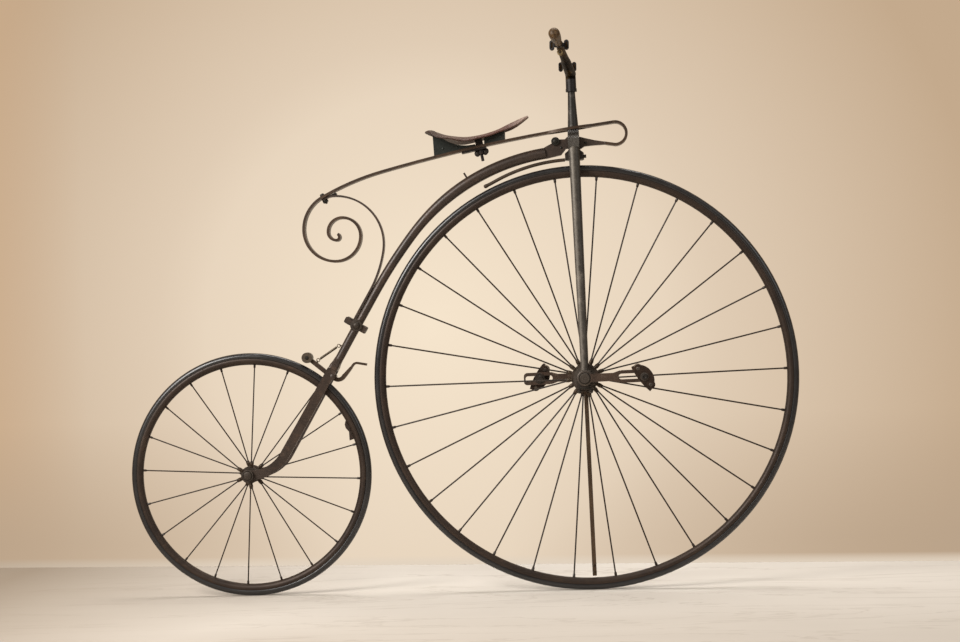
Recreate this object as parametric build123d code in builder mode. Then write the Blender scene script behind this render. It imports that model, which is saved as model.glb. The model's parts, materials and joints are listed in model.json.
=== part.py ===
from build123d import *
import os
from math import acos, atan2, cos, degrees, hypot, radians, sin, sqrt, tan

os.makedirs("parts", exist_ok=True)

# Penny farthing with lever-tension wheels, in millimetres.
# +X forward, +Y the rider's left, +Z up. The origin is the seat point on top of the leather.

# ---- driving dimensions ----
FRONT_R = 559.0             # 44 in driving wheel, outside the tyre
SEAT_HEIGHT = 2 * FRONT_R + 89.0    # seat point above the ground
SEAT_BACK = 290.0           # seat point behind the front axle
WHEELBASE = 896.0
REAR_R = 323.2
CLEAR = 5.0                 # free room between bodies that move past each other
FIT = 0.3                   # running gap round a pin, and between pieces that only meet

TYRE_D = 20.0               # solid rubber cord tyre
TYRE_SEAT = 5.0             # how deep the tyre lies in the rim
RIM_DEPTH = 16.5
RIM_W = 21.0
SPOKE_D = 3.4
SPOKE_GAP = 3.8             # between the two spokes of one lug
LUG_W = 9.0                 # eye lug on a hub flange, along the flange
WHEEL_PHASE = 1.2           # the cranks' turn from level, degrees
REAR_PHASE = -3.3
FRONT_LUGS = 15             # each holds a loop of two spokes

FLANGE_Y = 36.0             # front hub flange's middle from the wheel's plane
FLANGE_R = 36.0
FLANGE_T = 5.0
HUB_R = 17.0
LUG_OUT = 12.0              # how far a lug stands out from its flange
AXLE_D = 20.0
BEARING_IN = 46.0           # fork bearing's inner face
BEARING_T = 16.0
BEARING_R = 21.5
CAP_DROP = 30.0             # underside of the bearing cap below the axle
LEVER_W = 11.0              # tension lever across the wheel's plane
LEVER_T = 8.0
LEVER_GAP = 5.0             # lever's tip to the rim

CRANK_IN = 68.0             # crank's inner face from the wheel's plane
CRANK_T = 12.0
CRANK_BOSS_R = 16.0
CRANK_W = 21.0
CRANK_END = 165.0
CRANK_END_W = 32.5
SLOT_START = 88.0
SLOT_END = 161.0
SLOT_H = 15.0
PEDAL_RIGHT_AT = 153.0      # pedal's place along its slotted crank
PEDAL_LEFT_AT = 122.0
PEDAL_LENGTH = 84.0
SPINDLE_D = 11.0
TREAD_D = 21.0
TREAD_OFFSET = 26.0
PLATE_T = 4.0
PLATE_L = 76.0
PLATE_BULGE = 22.0          # the half-moon plate's round side from the spindle
PLATE_CHORD = 12.0          # and its flatter side
PEDAL_TILT_RIGHT = -53.0
PEDAL_TILT_LEFT = 61.0

RAKE = 1.2                  # steering axis leans back, degrees
CHEEK_IN = 26.0             # inner face of the open head's cheeks
CHEEK_T = 8.0
SEAM_W = FRONT_R + 45.0     # where the legs meet the head, up the steering axis
ARCH_W = SEAM_W + 12.0      # centre of the head's arch
LEG_TOP_HALF = 14.0
LEG_FOOT_HALF = 9.5
LEG_TOP_T = 9.5
LEG_FOOT_T = 7.0
COLUMN_TOP_W = ARCH_W + 170.0
COLUMN_TOP_R = 9.5
COLUMN_FOOT_R = 14.5
SOCKET_R = 13.7
SOCKET_H = 33.0
YOKE_T = 18.0
YOKE_BACK = 25.0            # radius of its rounded back, which swings under the neck lug
YOKE_SQUARE = 12.0          # how far back its square part goes
YOKE_FRONT = 22.0
GUARD_D = 9.0
GUARD_R = FRONT_R + 15.25   # the rod's middle where it leaves the yoke

NECK_R = 15.0
NECK_HALF = 8.0             # half the neck lug's thickness
NECK_H = 34.0
BACKBONE_R = FRONT_R + 41.0  # the backbone's middle at its top end, from the front axle
BACKBONE_D = 30.0
BACKBONE_FOOT_D = 22.0
BACKBONE_TOP_ANGLE = 8.5    # behind upright, about the front axle
BACKBONE_HEAD = 187.5       # its direction there, degrees
BEND_R = FRONT_R - 13.0
BEND_TURN = 43.9
EASE_R = 1304.0             # the slacker bend that runs out into the straight part
EASE_TURN = 8.1
CROWN_CLEAR = 34.0          # rear tyre to the end of the crown
PEG_ANGLE = 29.1            # guide peg on the backbone, behind upright
PEG_D = 5.0
PEG_H = 13.0
CROWN_H = 22.6
BLADE_W = 25.0
BLADE_T = 7.0
BLADE_IN_TOP = 15.5
BLADE_IN_FOOT = 35.5
BLADE_CORNER = 67.0         # corner of the blades' centreline before the rear axle
BLADE_TANGENT = 61.0        # length the corner's round takes of each side
DROPOUT_R = 14.0

REAR_FLANGE_Y = 24.0
REAR_FLANGE_R = 23.0
REAR_HUB_R = 13.0
REAR_LUG_OUT = 11.0
REAR_AXLE_D = 12.0

LEAF_T = 7.0                # saddle spring
LEAF_W = 28.0
EYE_HALF = 20.0             # half the gap of the leaf's eye round the column
LOOP_R = 29.8
STAY_T = 5.0
STAY_W = 18.0

SADDLE_T = 5.0
CLAMP_X = 29.0              # the saddle's bolt through the leaf
CLAMP_BOLT_D = 8.0

BAR_D = 27.5
BAR_TIP_D = 17.8
BAR_HALF = 228.0            # to the inner end of each grip
BAR_RISE = 14.5             # at the middle, degrees
BAR_CURVE_R = 3313.0        # the rise slackens along this arc
BAR_SWEEP = 4.66            # degrees
BAR_TURN = -1.5             # the bar sits a little out of square
GRIP_LENGTH = 90.0
GRIP_D = 29.0
WING_AT = 216.0             # the wing bolt's place along the bar's half
WING_OUT = 18.5             # each ring's middle from the bar's
WING_D = 6.0

# ---- shared places ----
AX = SEAT_BACK
AZ = FRONT_R - SEAT_HEIGHT
RX = AX - WHEELBASE
RZ = REAR_R - SEAT_HEIGHT
FRONT_AXIS = Axis((AX, 0, AZ), (0, 1, 0))
REAR_AXIS = Axis((RX, 0, RZ), (0, 1, 0))
UX = cos(radians(RAKE))
UZ = sin(radians(RAKE))
AXLE_SIDE = Plane(origin=(AX, 0, AZ), x_dir=(1, 0, 0), z_dir=(0, -1, 0))
REAR_SIDE = Plane(origin=(RX, 0, RZ), x_dir=(1, 0, 0), z_dir=(0, -1, 0))
FORK_SIDE = Plane(origin=(AX, 0, AZ), x_dir=(UX, 0, UZ), z_dir=(0, -1, 0))
FORK_FRONT = Plane(origin=(AX, 0, AZ), x_dir=(0, 1, 0), z_dir=(UX, 0, UZ))
RIM_TOP_FRONT = FRONT_R - TYRE_D + TYRE_SEAT
RIM_IN_FRONT = RIM_TOP_FRONT - RIM_DEPTH
RIM_TOP_REAR = REAR_R - TYRE_D + TYRE_SEAT
RIM_IN_REAR = RIM_TOP_REAR - RIM_DEPTH


def fork_level(w, u=0.0, y=0.0):
    # a plane square to the steering axis, w above the front axle and u before the axis
    return Plane(origin=(AX - w * UZ + u * UX, y, AZ + w * UX + u * UZ),
                 x_dir=(UX, 0, UZ), z_dir=(-UZ, 0, UX))


def side_plane(x, z, y=0.0, turn=0.0):
    # the side plane with its centre at (x, z) from the front axle, turned by some degrees
    return Plane(origin=(AX + x, y, AZ + z),
                 x_dir=(cos(radians(turn)), 0, sin(radians(turn))), z_dir=(0, -1, 0))


def wheel_plane(x, z, y, turn=0.0):
    # the same in part coordinates, for what turns with a wheel
    return Plane(origin=(x, y, z),
                 x_dir=(cos(radians(turn)), 0, sin(radians(turn))), z_dir=(0, -1, 0))


def spoke_plane(cx, cz, lug, gap, flange_r, flange_y, tip, rim_r):
    # plane at a spoke's inner end with its normal along the spoke
    x0 = cx + flange_r * cos(radians(lug)) - gap * sin(radians(lug))
    z0 = cz + flange_r * sin(radians(lug)) + gap * cos(radians(lug))
    x1 = cx + rim_r * cos(radians(tip))
    z1 = cz + rim_r * sin(radians(tip))
    return Plane(origin=(x0, flange_y, z0), z_dir=(x1 - x0, -flange_y, z1 - z0))


# ---------------------------------------------------------------- front wheel
with BuildPart() as front_tyre:
    with BuildSketch(Plane(origin=(AX, 0, AZ))):
        with Locations((FRONT_R - TYRE_D / 2, 0)):
            Circle(TYRE_D / 2)
    revolve(axis=FRONT_AXIS)
front_tyre.part.label = "front_tyre"
export_step(front_tyre.part, "parts/front_tyre.step")

with BuildPart() as front_rim:
    with BuildSketch(Plane(origin=(AX, 0, AZ))):
        with BuildLine():
            ThreePointArc((RIM_TOP_FRONT, -RIM_W / 2), (RIM_IN_FRONT, 0), (RIM_TOP_FRONT, RIM_W / 2))
            Line((RIM_TOP_FRONT, RIM_W / 2), (RIM_TOP_FRONT, -RIM_W / 2))
        make_face()
        with Locations((FRONT_R - TYRE_D / 2, 0)):
            Circle(TYRE_D / 2 + 0.1, mode=Mode.SUBTRACT)
    revolve(axis=FRONT_AXIS)
front_rim.part.label = "front_rim"
export_step(front_rim.part, "parts/front_rim.step")

front_spoke_planes = []
for i in range(FRONT_LUGS):
    lug = WHEEL_PHASE + (i - 0.25) * 360 / FRONT_LUGS
    side = -1 if i % 2 == 0 else 1
    for half in (-1, 1):
        tip = lug + half * 90 / FRONT_LUGS
        front_spoke_planes.append(spoke_plane(AX, AZ, lug, half * SPOKE_GAP / 2, FLANGE_R + LUG_OUT + 0.4,
                                              side * FLANGE_Y, tip, RIM_IN_FRONT))
lug_r = FLANGE_R + LUG_OUT + 0.4
front_spoke_length = sqrt((RIM_IN_FRONT * cos(radians(90 / FRONT_LUGS)) - lug_r) ** 2
                          + (RIM_IN_FRONT * sin(radians(90 / FRONT_LUGS)) - SPOKE_GAP / 2) ** 2
                          + FLANGE_Y ** 2) - 0.4
with BuildPart() as front_spokes:
    with BuildSketch(*front_spoke_planes):
        Circle(SPOKE_D / 2)
    extrude(amount=front_spoke_length)
front_spokes.part.label = "front_spokes"
export_step(front_spokes.part, "parts/front_spokes.step")

with BuildPart() as front_hub:
    with BuildSketch(wheel_plane(AX, AZ, 0)):
        Circle(HUB_R)
    extrude(amount=FLANGE_Y, both=True)
    for side in (-1, 1):
        with BuildSketch(wheel_plane(AX, AZ, side * FLANGE_Y)):
            Circle(FLANGE_R)
            for i in range(FRONT_LUGS):
                if (i % 2 == 0) == (side < 0):
                    with PolarLocations(FLANGE_R + LUG_OUT / 2 - 2, 1,
                                        start_angle=WHEEL_PHASE + (i - 0.25) * 360 / FRONT_LUGS):
                        Rectangle(LUG_OUT + 4, LUG_W)
        extrude(amount=FLANGE_T / 2, both=True)
    with BuildSketch(wheel_plane(AX, AZ, 0)):
        Circle(AXLE_D / 2)
    extrude(amount=CRANK_IN + CRANK_T, both=True)
front_hub.part.label = "front_hub"
export_step(front_hub.part, "parts/front_hub.step")

with BuildPart() as tension_levers:
    for turn in (90, -90):
        with BuildSketch(wheel_plane(AX, AZ, 0, WHEEL_PHASE + turn)):
            with Locations(((HUB_R + RIM_IN_FRONT - LEVER_GAP) / 2 + 0.2, 0)):
                Rectangle(RIM_IN_FRONT - LEVER_GAP - HUB_R, LEVER_W)
        extrude(amount=LEVER_T / 2, both=True)
tension_levers.part.label = "tension_levers"
export_step(tension_levers.part, "parts/tension_levers.step")


def crank_sketch():
    # outline along local +x from the axle; the slot lets the pedal be set for the rider's leg
    with BuildSketch() as outline:
        Circle(CRANK_BOSS_R)
        with BuildLine():
            Polyline((0, -CRANK_W / 2), (SLOT_START - 14, -CRANK_W / 2), (SLOT_START + 4, -CRANK_END_W / 2),
                     (SLOT_START + 4, CRANK_END_W / 2), (SLOT_START - 14, CRANK_W / 2), (0, CRANK_W / 2),
                     close=True)
        make_face()
        with Locations(((SLOT_START + CRANK_END) / 2, 0)):
            RectangleRounded(CRANK_END - SLOT_START, CRANK_END_W, 9)
        Circle(AXLE_D / 2 + 0.05, mode=Mode.SUBTRACT)
        with Locations(((SLOT_START + SLOT_END) / 2, 0)):
            SlotOverall(SLOT_END - SLOT_START, SLOT_H, mode=Mode.SUBTRACT)
    return outline.sketch


with BuildPart() as crank_right:
    with BuildSketch(wheel_plane(AX, AZ, -CRANK_IN, WHEEL_PHASE)):
        add(crank_sketch())
    extrude(amount=CRANK_T)
crank_right.part.label = "crank_right"
export_step(crank_right.part, "parts/crank_right.step")

with BuildPart() as crank_left:
    with BuildSketch(wheel_plane(AX, AZ, CRANK_IN + CRANK_T, WHEEL_PHASE + 180)):
        add(crank_sketch())
    extrude(amount=CRANK_T)
crank_left.part.label = "crank_left"
export_step(crank_left.part, "parts/crank_left.step")


def place_along(at, side):
    # a crank point at a distance from the axle; side -1 is the rider's right
    turn = WHEEL_PHASE if side < 0 else WHEEL_PHASE + 180
    return AX + at * cos(radians(turn)), AZ + at * sin(radians(turn))


PEDAL_IN = CRANK_IN + CRANK_T + CLEAR
COLLAR_R = 12.0
for side, at, name in ((-1, PEDAL_RIGHT_AT, "spindle_right"), (1, PEDAL_LEFT_AT, "spindle_left")):
    px, pz = place_along(at, side)
    with BuildPart() as spindle:
        with BuildSketch(wheel_plane(px, pz, side * (CRANK_IN - 4))):
            Circle(COLLAR_R)
        extrude(amount=-side * 3.9)
        with BuildSketch(wheel_plane(px, pz, side * (CRANK_IN - 4))):
            Circle(SLOT_H / 2 - 0.1)
        extrude(amount=-side * (CRANK_T + 4))
        with BuildSketch(wheel_plane(px, pz, side * (CRANK_IN + CRANK_T + 0.1))):
            Circle(COLLAR_R)
        extrude(amount=-side * (CLEAR - 0.6))
        with BuildSketch(wheel_plane(px, pz, side * (CRANK_IN + CRANK_T))):
            Circle(SPINDLE_D / 2)
        extrude(amount=-side * (CLEAR + PEDAL_LENGTH + 4))
        with BuildSketch(wheel_plane(px, pz, side * (PEDAL_IN + PEDAL_LENGTH + 0.5))):
            Circle(SPINDLE_D / 2 + 2.5)
        extrude(amount=-side * 4)
    spindle.part.label = name
    export_step(spindle.part, "parts/" + name + ".step")

# ---------------------------------------------------------------- pedals
for side, at, tilt, name in ((-1, PEDAL_RIGHT_AT, PEDAL_TILT_RIGHT, "pedal_right"),
                             (1, PEDAL_LEFT_AT, PEDAL_TILT_LEFT, "pedal_left")):
    px, pz = place_along(at, side)
    with BuildPart() as pedal:
        for y in (PEDAL_IN, PEDAL_IN + PEDAL_LENGTH - PLATE_T):
            with BuildSketch(wheel_plane(px, pz, side * y, tilt)):
                with BuildLine():
                    ThreePointArc((-PLATE_L / 2, side * PLATE_CHORD), (0, -side * PLATE_BULGE),
                                  (PLATE_L / 2, side * PLATE_CHORD))
                    ThreePointArc((PLATE_L / 2, side * PLATE_CHORD), (0, side * (PLATE_CHORD + 4)),
                                  (-PLATE_L / 2, side * PLATE_CHORD))
                make_face()
            extrude(amount=-side * PLATE_T)
        with BuildSketch(wheel_plane(px, pz, side * (PEDAL_IN + PLATE_T / 2), tilt)):
            Circle(SPINDLE_D / 2 + 4)
            with Locations((-TREAD_OFFSET, 0), (TREAD_OFFSET, 0)):
                Circle(TREAD_D / 2)
        extrude(amount=-side * (PEDAL_LENGTH - PLATE_T))
        with BuildSketch(wheel_plane(px, pz, side * PEDAL_IN, tilt)):
            Circle(SPINDLE_D / 2 + FIT)
        extrude(amount=-side * PEDAL_LENGTH, mode=Mode.SUBTRACT)
    pedal.part.label = name
    export_step(pedal.part, "parts/" + name + ".step")

# ---------------------------------------------------------------- fork
with BuildPart() as fork_crown:
    with BuildSketch(FORK_FRONT):
        with BuildLine():
            Polyline((-COLUMN_FOOT_R, ARCH_W + 36), (COLUMN_FOOT_R, ARCH_W + 36), (CHEEK_IN + CHEEK_T, ARCH_W + 12),
                     (CHEEK_IN + 2 * LEG_TOP_T, SEAM_W), (CHEEK_IN, SEAM_W), (CHEEK_IN, ARCH_W))
            ThreePointArc((CHEEK_IN, ARCH_W), (0, ARCH_W + CHEEK_IN), (-CHEEK_IN, ARCH_W))
            Polyline((-CHEEK_IN, ARCH_W), (-CHEEK_IN, SEAM_W), (-CHEEK_IN - 2 * LEG_TOP_T, SEAM_W),
                     (-CHEEK_IN - CHEEK_T, ARCH_W + 12), (-COLUMN_FOOT_R, ARCH_W + 36))
        make_face()
    extrude(amount=LEG_TOP_HALF + 4, both=True)
    with BuildSketch(FORK_SIDE):
        with BuildLine():
            Polyline((-LEG_TOP_HALF, SEAM_W), (-LEG_TOP_HALF - 1, SEAM_W + 20), (-COLUMN_FOOT_R, ARCH_W + 36),
                     (COLUMN_FOOT_R, ARCH_W + 36), (LEG_TOP_HALF + 1, SEAM_W + 20), (LEG_TOP_HALF, SEAM_W),
                     close=True)
        make_face()
    extrude(amount=60, both=True, mode=Mode.INTERSECT)
    with BuildSketch(fork_level(SEAM_W + NECK_H - 4 + FIT)):
        Circle(7)
    extrude(amount=ARCH_W + CHEEK_IN + 3 - (SEAM_W + NECK_H - 4 + FIT))
fork_crown.part.label = "fork_crown"
export_step(fork_crown.part, "parts/fork_crown.step")

with BuildPart() as steering_column:
    with BuildSketch(FORK_SIDE):
        with BuildLine():
            Polyline((0, ARCH_W + 36), (COLUMN_FOOT_R, ARCH_W + 36), (COLUMN_TOP_R + 2.5, ARCH_W + 80),
                     (COLUMN_TOP_R, COLUMN_TOP_W - SOCKET_H), (COLUMN_TOP_R, COLUMN_TOP_W), (0, COLUMN_TOP_W),
                     close=True)
        make_face()
    revolve(axis=Axis((AX, 0, AZ), (-UZ, 0, UX)))
steering_column.part.label = "steering_column"
export_step(steering_column.part, "parts/steering_column.step")

with BuildPart() as bar_socket:
    with BuildSketch(fork_level(COLUMN_TOP_W - SOCKET_H)):
        Circle(SOCKET_R)
        Circle(COLUMN_TOP_R + 0.1, mode=Mode.SUBTRACT)
    extrude(amount=SOCKET_H)
    with BuildSketch(fork_level(COLUMN_TOP_W - SOCKET_H)):
        Circle(SOCKET_R + 1)
        Circle(COLUMN_TOP_R + 0.1, mode=Mode.SUBTRACT)
    extrude(amount=8)
bar_socket.part.label = "bar_socket"
export_step(bar_socket.part, "parts/bar_socket.step")

LEG_TOP_Y = CHEEK_IN + LEG_TOP_T
LEG_FOOT_Y = BEARING_IN + BEARING_T / 2
for side, name in ((-1, "leg_right"), (1, "leg_left")):
    with BuildPart() as leg:
        with BuildSketch(fork_level(SEAM_W, 0, side * LEG_TOP_Y)):
            Ellipse(LEG_TOP_HALF, LEG_TOP_T)
        with BuildSketch(fork_level(BEARING_R - 6, 0, side * LEG_FOOT_Y)):
            Ellipse(LEG_FOOT_HALF, LEG_FOOT_T)
        loft()
        with BuildSketch(wheel_plane(AX, AZ, side * BEARING_IN)):
            Circle(BEARING_R)
            with Locations((0, -BEARING_R)):
                Rectangle(2 * BEARING_R + 2, 2 * BEARING_R, mode=Mode.SUBTRACT)
        extrude(amount=-side * BEARING_T)
        with BuildSketch(wheel_plane(AX, AZ, 0)):
            Circle(AXLE_D / 2 + FIT)
        extrude(amount=90, both=True, mode=Mode.SUBTRACT)
    leg.part.label = name
    export_step(leg.part, "parts/" + name + ".step")

for side, name in ((-1, "bearing_cap_right"), (1, "bearing_cap_left")):
    with BuildPart() as cap:
        with BuildSketch(wheel_plane(AX, AZ, side * BEARING_IN)):
            with Locations((0, -CAP_DROP / 2)):
                Rectangle(2 * BEARING_R, CAP_DROP)
            Circle(AXLE_D / 2 + FIT, mode=Mode.SUBTRACT)
        extrude(amount=-side * BEARING_T)
        for u in (-15, 15):
            with BuildSketch(Plane(origin=(AX + u, side * LEG_FOOT_Y, AZ - CAP_DROP), z_dir=(0, 0, -1))):
                Circle(5)
            extrude(amount=9)
    cap.part.label = name
    export_step(cap.part, "parts/" + name + ".step")

YOKE_W = SEAM_W - 13 - YOKE_T
with BuildPart() as lower_yoke:
    with BuildSketch(fork_level(YOKE_W)):
        with Locations(((YOKE_FRONT - YOKE_SQUARE) / 2, 0)):
            Rectangle(YOKE_SQUARE + YOKE_FRONT, 2 * CHEEK_IN)
        Circle(YOKE_BACK)
    extrude(amount=YOKE_T)
    with BuildSketch(fork_level(YOKE_W + YOKE_T)):
        Circle(7)
    extrude(amount=SEAM_W - 4 - FIT - YOKE_W - YOKE_T)
    with BuildSketch(Plane(origin=(AX, 0, AZ), x_dir=(0, 1, 0), z_dir=(UX, 0, UZ)).offset(YOKE_FRONT)):
        with Locations((-10, YOKE_W + 8)):
            Circle(4.5)
    extrude(amount=9)
lower_yoke.part.label = "lower_yoke"
export_step(lower_yoke.part, "parts/lower_yoke.step")

guard_x = -(YOKE_BACK + 0.3) * UX - GUARD_R * UZ
with BuildPart() as guard_rod:
    with BuildLine(AXLE_SIDE) as guard_line:
        g1 = JernArc((guard_x, GUARD_R), (-cos(radians(2.7)), -sin(radians(2.7))), 0.8 * FRONT_R, 25)
        g2 = JernArc(g1 @ 1, g1 % 1, 0.75 * FRONT_R, -4)
    with BuildSketch(Plane(origin=g1 @ 0, z_dir=g1 % 0)):
        Circle(GUARD_D / 2)
    sweep(path=guard_line.line)
guard_rod.part.label = "guard_rod"
export_step(guard_rod.part, "parts/guard_rod.step")

# handlebar: a tapered V, swept back, with a wing bolt near each end
BAR_W = COLUMN_TOP_W + BAR_D / 2 + 0.3
BAR_X0 = AX - BAR_W * UZ
BAR_Z0 = AZ + BAR_W * UX


def bar_plane(side, s):
    # square to one half of the bar, s out from its middle; the rise slackens on the way
    top = radians(BAR_RISE)
    rise = top - s / BAR_CURVE_R
    out = BAR_CURVE_R * (sin(top) - sin(rise))
    up = BAR_CURVE_R * (cos(rise) - cos(top))
    flat = radians(side * (90 + BAR_SWEEP) + BAR_TURN)
    return Plane(origin=(BAR_X0 + out * cos(flat), out * sin(flat), BAR_Z0 + up),
                 x_dir=(sin(flat), -cos(flat), 0),
                 z_dir=(cos(flat) * cos(rise), sin(flat) * cos(rise), sin(rise)))


with BuildPart() as handlebar:
    for side in (-1, 1):
        for part_way, share in ((0, 1), (0.2, 0.95), (0.35, 0.8), (0.5, 0.35), (0.75, 0.12), (1, 0)):
            with BuildSketch(bar_plane(side, part_way * BAR_HALF)):
                Circle((BAR_TIP_D + share * (BAR_D - BAR_TIP_D)) / 2)
        loft(ruled=True)
        with BuildSketch(bar_plane(side, BAR_HALF)):
            Circle(BAR_TIP_D / 2 - 2)
        extrude(amount=GRIP_LENGTH - 6)
    with Locations((BAR_X0, 0, BAR_Z0)):
        Sphere(BAR_D / 2 + 0.6)
    with BuildSketch(fork_level(COLUMN_TOP_W)):
        Circle(SOCKET_R - 0.2)
    extrude(amount=BAR_D / 2 + 0.3)
    for side in (-1, 1):
        across = bar_plane(side, WING_AT)
        with BuildSketch(Plane(origin=across.origin, z_dir=across.x_dir)):
            Circle(WING_D / 2 + 0.1)
        extrude(amount=BAR_D, both=True, mode=Mode.SUBTRACT)
handlebar.part.label = "handlebar"
export_step(handlebar.part, "parts/handlebar.step")

for side, name in ((-1, "wing_bolt_right"), (1, "wing_bolt_left")):
    across = bar_plane(side, WING_AT)
    with BuildPart() as wing_bolt:
        with BuildSketch(Plane(origin=across.origin, z_dir=across.x_dir)):
            Circle(WING_D / 2)
        extrude(amount=WING_OUT - 4, both=True)
        with BuildSketch(across):
            with Locations((-WING_OUT, 0), (WING_OUT, 0)):
                SlotOverall(26, 12, rotation=90)
                SlotOverall(16, 4.5, rotation=90, mode=Mode.SUBTRACT)
        extrude(amount=2.8, both=True)
    wing_bolt.part.label = name
    export_step(wing_bolt.part, "parts/" + name + ".step")

for side, name in ((-1, "grip_right"), (1, "grip_left")):
    base = bar_plane(side, BAR_HALF)
    with BuildPart() as grip:
        with BuildSketch(Plane(origin=base.origin, x_dir=base.z_dir, z_dir=base.x_dir)):
            with BuildLine():
                Line((0.3, 0), (0.3, 9.2))
                g = Spline((0.3, 9.2), (30, 11.6), (70, GRIP_D / 2 - 0.2), (82, GRIP_D / 2 - 0.6), tangents=((1, 0), (1, -0.1)))
                g = ThreePointArc(g @ 1, (88.2, 9), (GRIP_LENGTH, 4))
                Polyline(g @ 1, (GRIP_LENGTH, 0), (0.3, 0))
            make_face()
        revolve(axis=Axis(base.origin, base.z_dir))
        with BuildSketch(base):
            Circle(BAR_TIP_D / 2 - 1.9)
        extrude(amount=GRIP_LENGTH - 5.7, mode=Mode.SUBTRACT)
    grip.part.label = name
    export_step(grip.part, "parts/" + name + ".step")

# ---------------------------------------------------------------- frame
NECK_TOP = SEAM_W + NECK_H - 4
NECK_FOOT = SEAM_W - 4
LOOP_X = 96.0
LOOP_Z = SEAM_W + 6 + LOOP_R
LUG_TIP_X = 71.0
spine_x = -BACKBONE_R * sin(radians(BACKBONE_TOP_ANGLE))
spine_z = BACKBONE_R * cos(radians(BACKBONE_TOP_ANGLE))
spine_ux = cos(radians(BACKBONE_HEAD))
spine_uz = sin(radians(BACKBONE_HEAD))
half_d = BACKBONE_D / 2
with BuildPart() as neck_lug:
    with BuildSketch(fork_level(NECK_FOOT)):
        Circle(NECK_R)
    extrude(amount=NECK_TOP - NECK_FOOT)
    with BuildSketch(AXLE_SIDE):
        with BuildLine():
            Polyline((-30, NECK_TOP), (-36, NECK_TOP - 6), (-52, NECK_TOP - 6),
                     (spine_x + half_d * spine_uz, spine_z - half_d * spine_ux),
                     (spine_x - half_d * spine_uz, spine_z + half_d * spine_ux),
                     (-47, SEAM_W - 17), (-34, SEAM_W - 1), (-12, SEAM_W - 1), (4, SEAM_W - 3),
                     (15, SEAM_W + 4), (42, SEAM_W + 6), (LUG_TIP_X, LOOP_Z - LOOP_R + 1),
                     (LUG_TIP_X, LOOP_Z - LOOP_R + 8), (42, SEAM_W + 19), (15, SEAM_W + 26),
                     (4, NECK_TOP - 1), close=True)
        make_face()
    extrude(amount=NECK_HALF, both=True)
    with BuildSketch(side_plane(-61, SEAM_W + 19, 0)):
        Circle(10.4)
    extrude(amount=11, both=True)
neck_lug.part.label = "neck_lug"
export_step(neck_lug.part, "parts/neck_lug.step")

# the spine's centreline: two bends, then a straight run down to the crown over the rear tyre
with BuildLine() as bends:
    b1 = JernArc((spine_x, spine_z), (spine_ux, spine_uz), BEND_R, BEND_TURN)
    b2 = JernArc(b1 @ 1, b1 % 1, EASE_R, EASE_TURN)
bend_x = (b2 @ 1).X
bend_z = (b2 @ 1).Y
LEAN = BACKBONE_HEAD + BEND_TURN + EASE_TURN - 180      # the run's slope below level
DOWN_X = -cos(radians(LEAN))
DOWN_Z = -sin(radians(LEAN))
along = (-WHEELBASE - bend_x) * DOWN_X + (REAR_R - FRONT_R - bend_z) * DOWN_Z
aside = (-WHEELBASE - bend_x) * DOWN_Z - (REAR_R - FRONT_R - bend_z) * DOWN_X
BACKBONE_RUN = along - sqrt((REAR_R + CROWN_CLEAR) ** 2 - aside ** 2) - CROWN_H


def backbone_at(s, off=0.0):
    # a point on the backbone's straight part, s below the bend and off behind its centreline
    return (bend_x + s * DOWN_X + off * DOWN_Z, bend_z + s * DOWN_Z - off * DOWN_X)


def backbone_plane(s, off=0.0):
    x, z = backbone_at(s, off)
    return Plane(origin=(AX + x, 0, AZ + z), x_dir=(DOWN_Z, 0, -DOWN_X), z_dir=(DOWN_X, 0, DOWN_Z))


def bend_plane(line, share):
    at = line @ share
    way = line % share
    return Plane(origin=(AX + at.X, 0, AZ + at.Y), x_dir=(way.Y, 0, -way.X), z_dir=(way.X, 0, way.Y))


with BuildPart() as backbone:
    for line, share, d in ((b1, 0, 30), (b1, 0.12, 30), (b1, 0.28, 30), (b1, 0.45, 29.9), (b1, 0.62, 29.2),
                           (b1, 0.8, 27.2), (b1, 1, 25.2), (b2, 0.5, 24.4), (b2, 1, 23.5)):
        with BuildSketch(bend_plane(line, share)):
            Circle(d * BACKBONE_D / 60)
    for share in (0.15, 0.4, 0.7, 1):
        with BuildSketch(backbone_plane(share * BACKBONE_RUN)):
            Circle((23.5 - 1.5 * share) * BACKBONE_FOOT_D / 44)
    loft()
    with BuildSketch(backbone_plane(BACKBONE_RUN - 8)):
        Circle(BACKBONE_FOOT_D / 2 + 0.4)
    with BuildSketch(backbone_plane(BACKBONE_RUN + 12)):
        RectangleRounded(BLADE_W, 2 * (BLADE_IN_TOP + BLADE_T), 7)
    loft()
    with BuildSketch(backbone_plane(BACKBONE_RUN + 12)):
        RectangleRounded(BLADE_W, 2 * (BLADE_IN_TOP + BLADE_T), 7)
    extrude(amount=CROWN_H - 12)
    with BuildSketch(Plane(origin=(AX - (BACKBONE_R + 4) * sin(radians(PEG_ANGLE)), 0,
                                   AZ + (BACKBONE_R + 4) * cos(radians(PEG_ANGLE))),
                           z_dir=(-sin(radians(PEG_ANGLE)), 0, cos(radians(PEG_ANGLE))))):
        Circle(PEG_D / 2)
    extrude(amount=PEG_H + BACKBONE_D / 2 - 4)
backbone.part.label = "backbone"
export_step(backbone.part, "parts/backbone.step")

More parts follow.
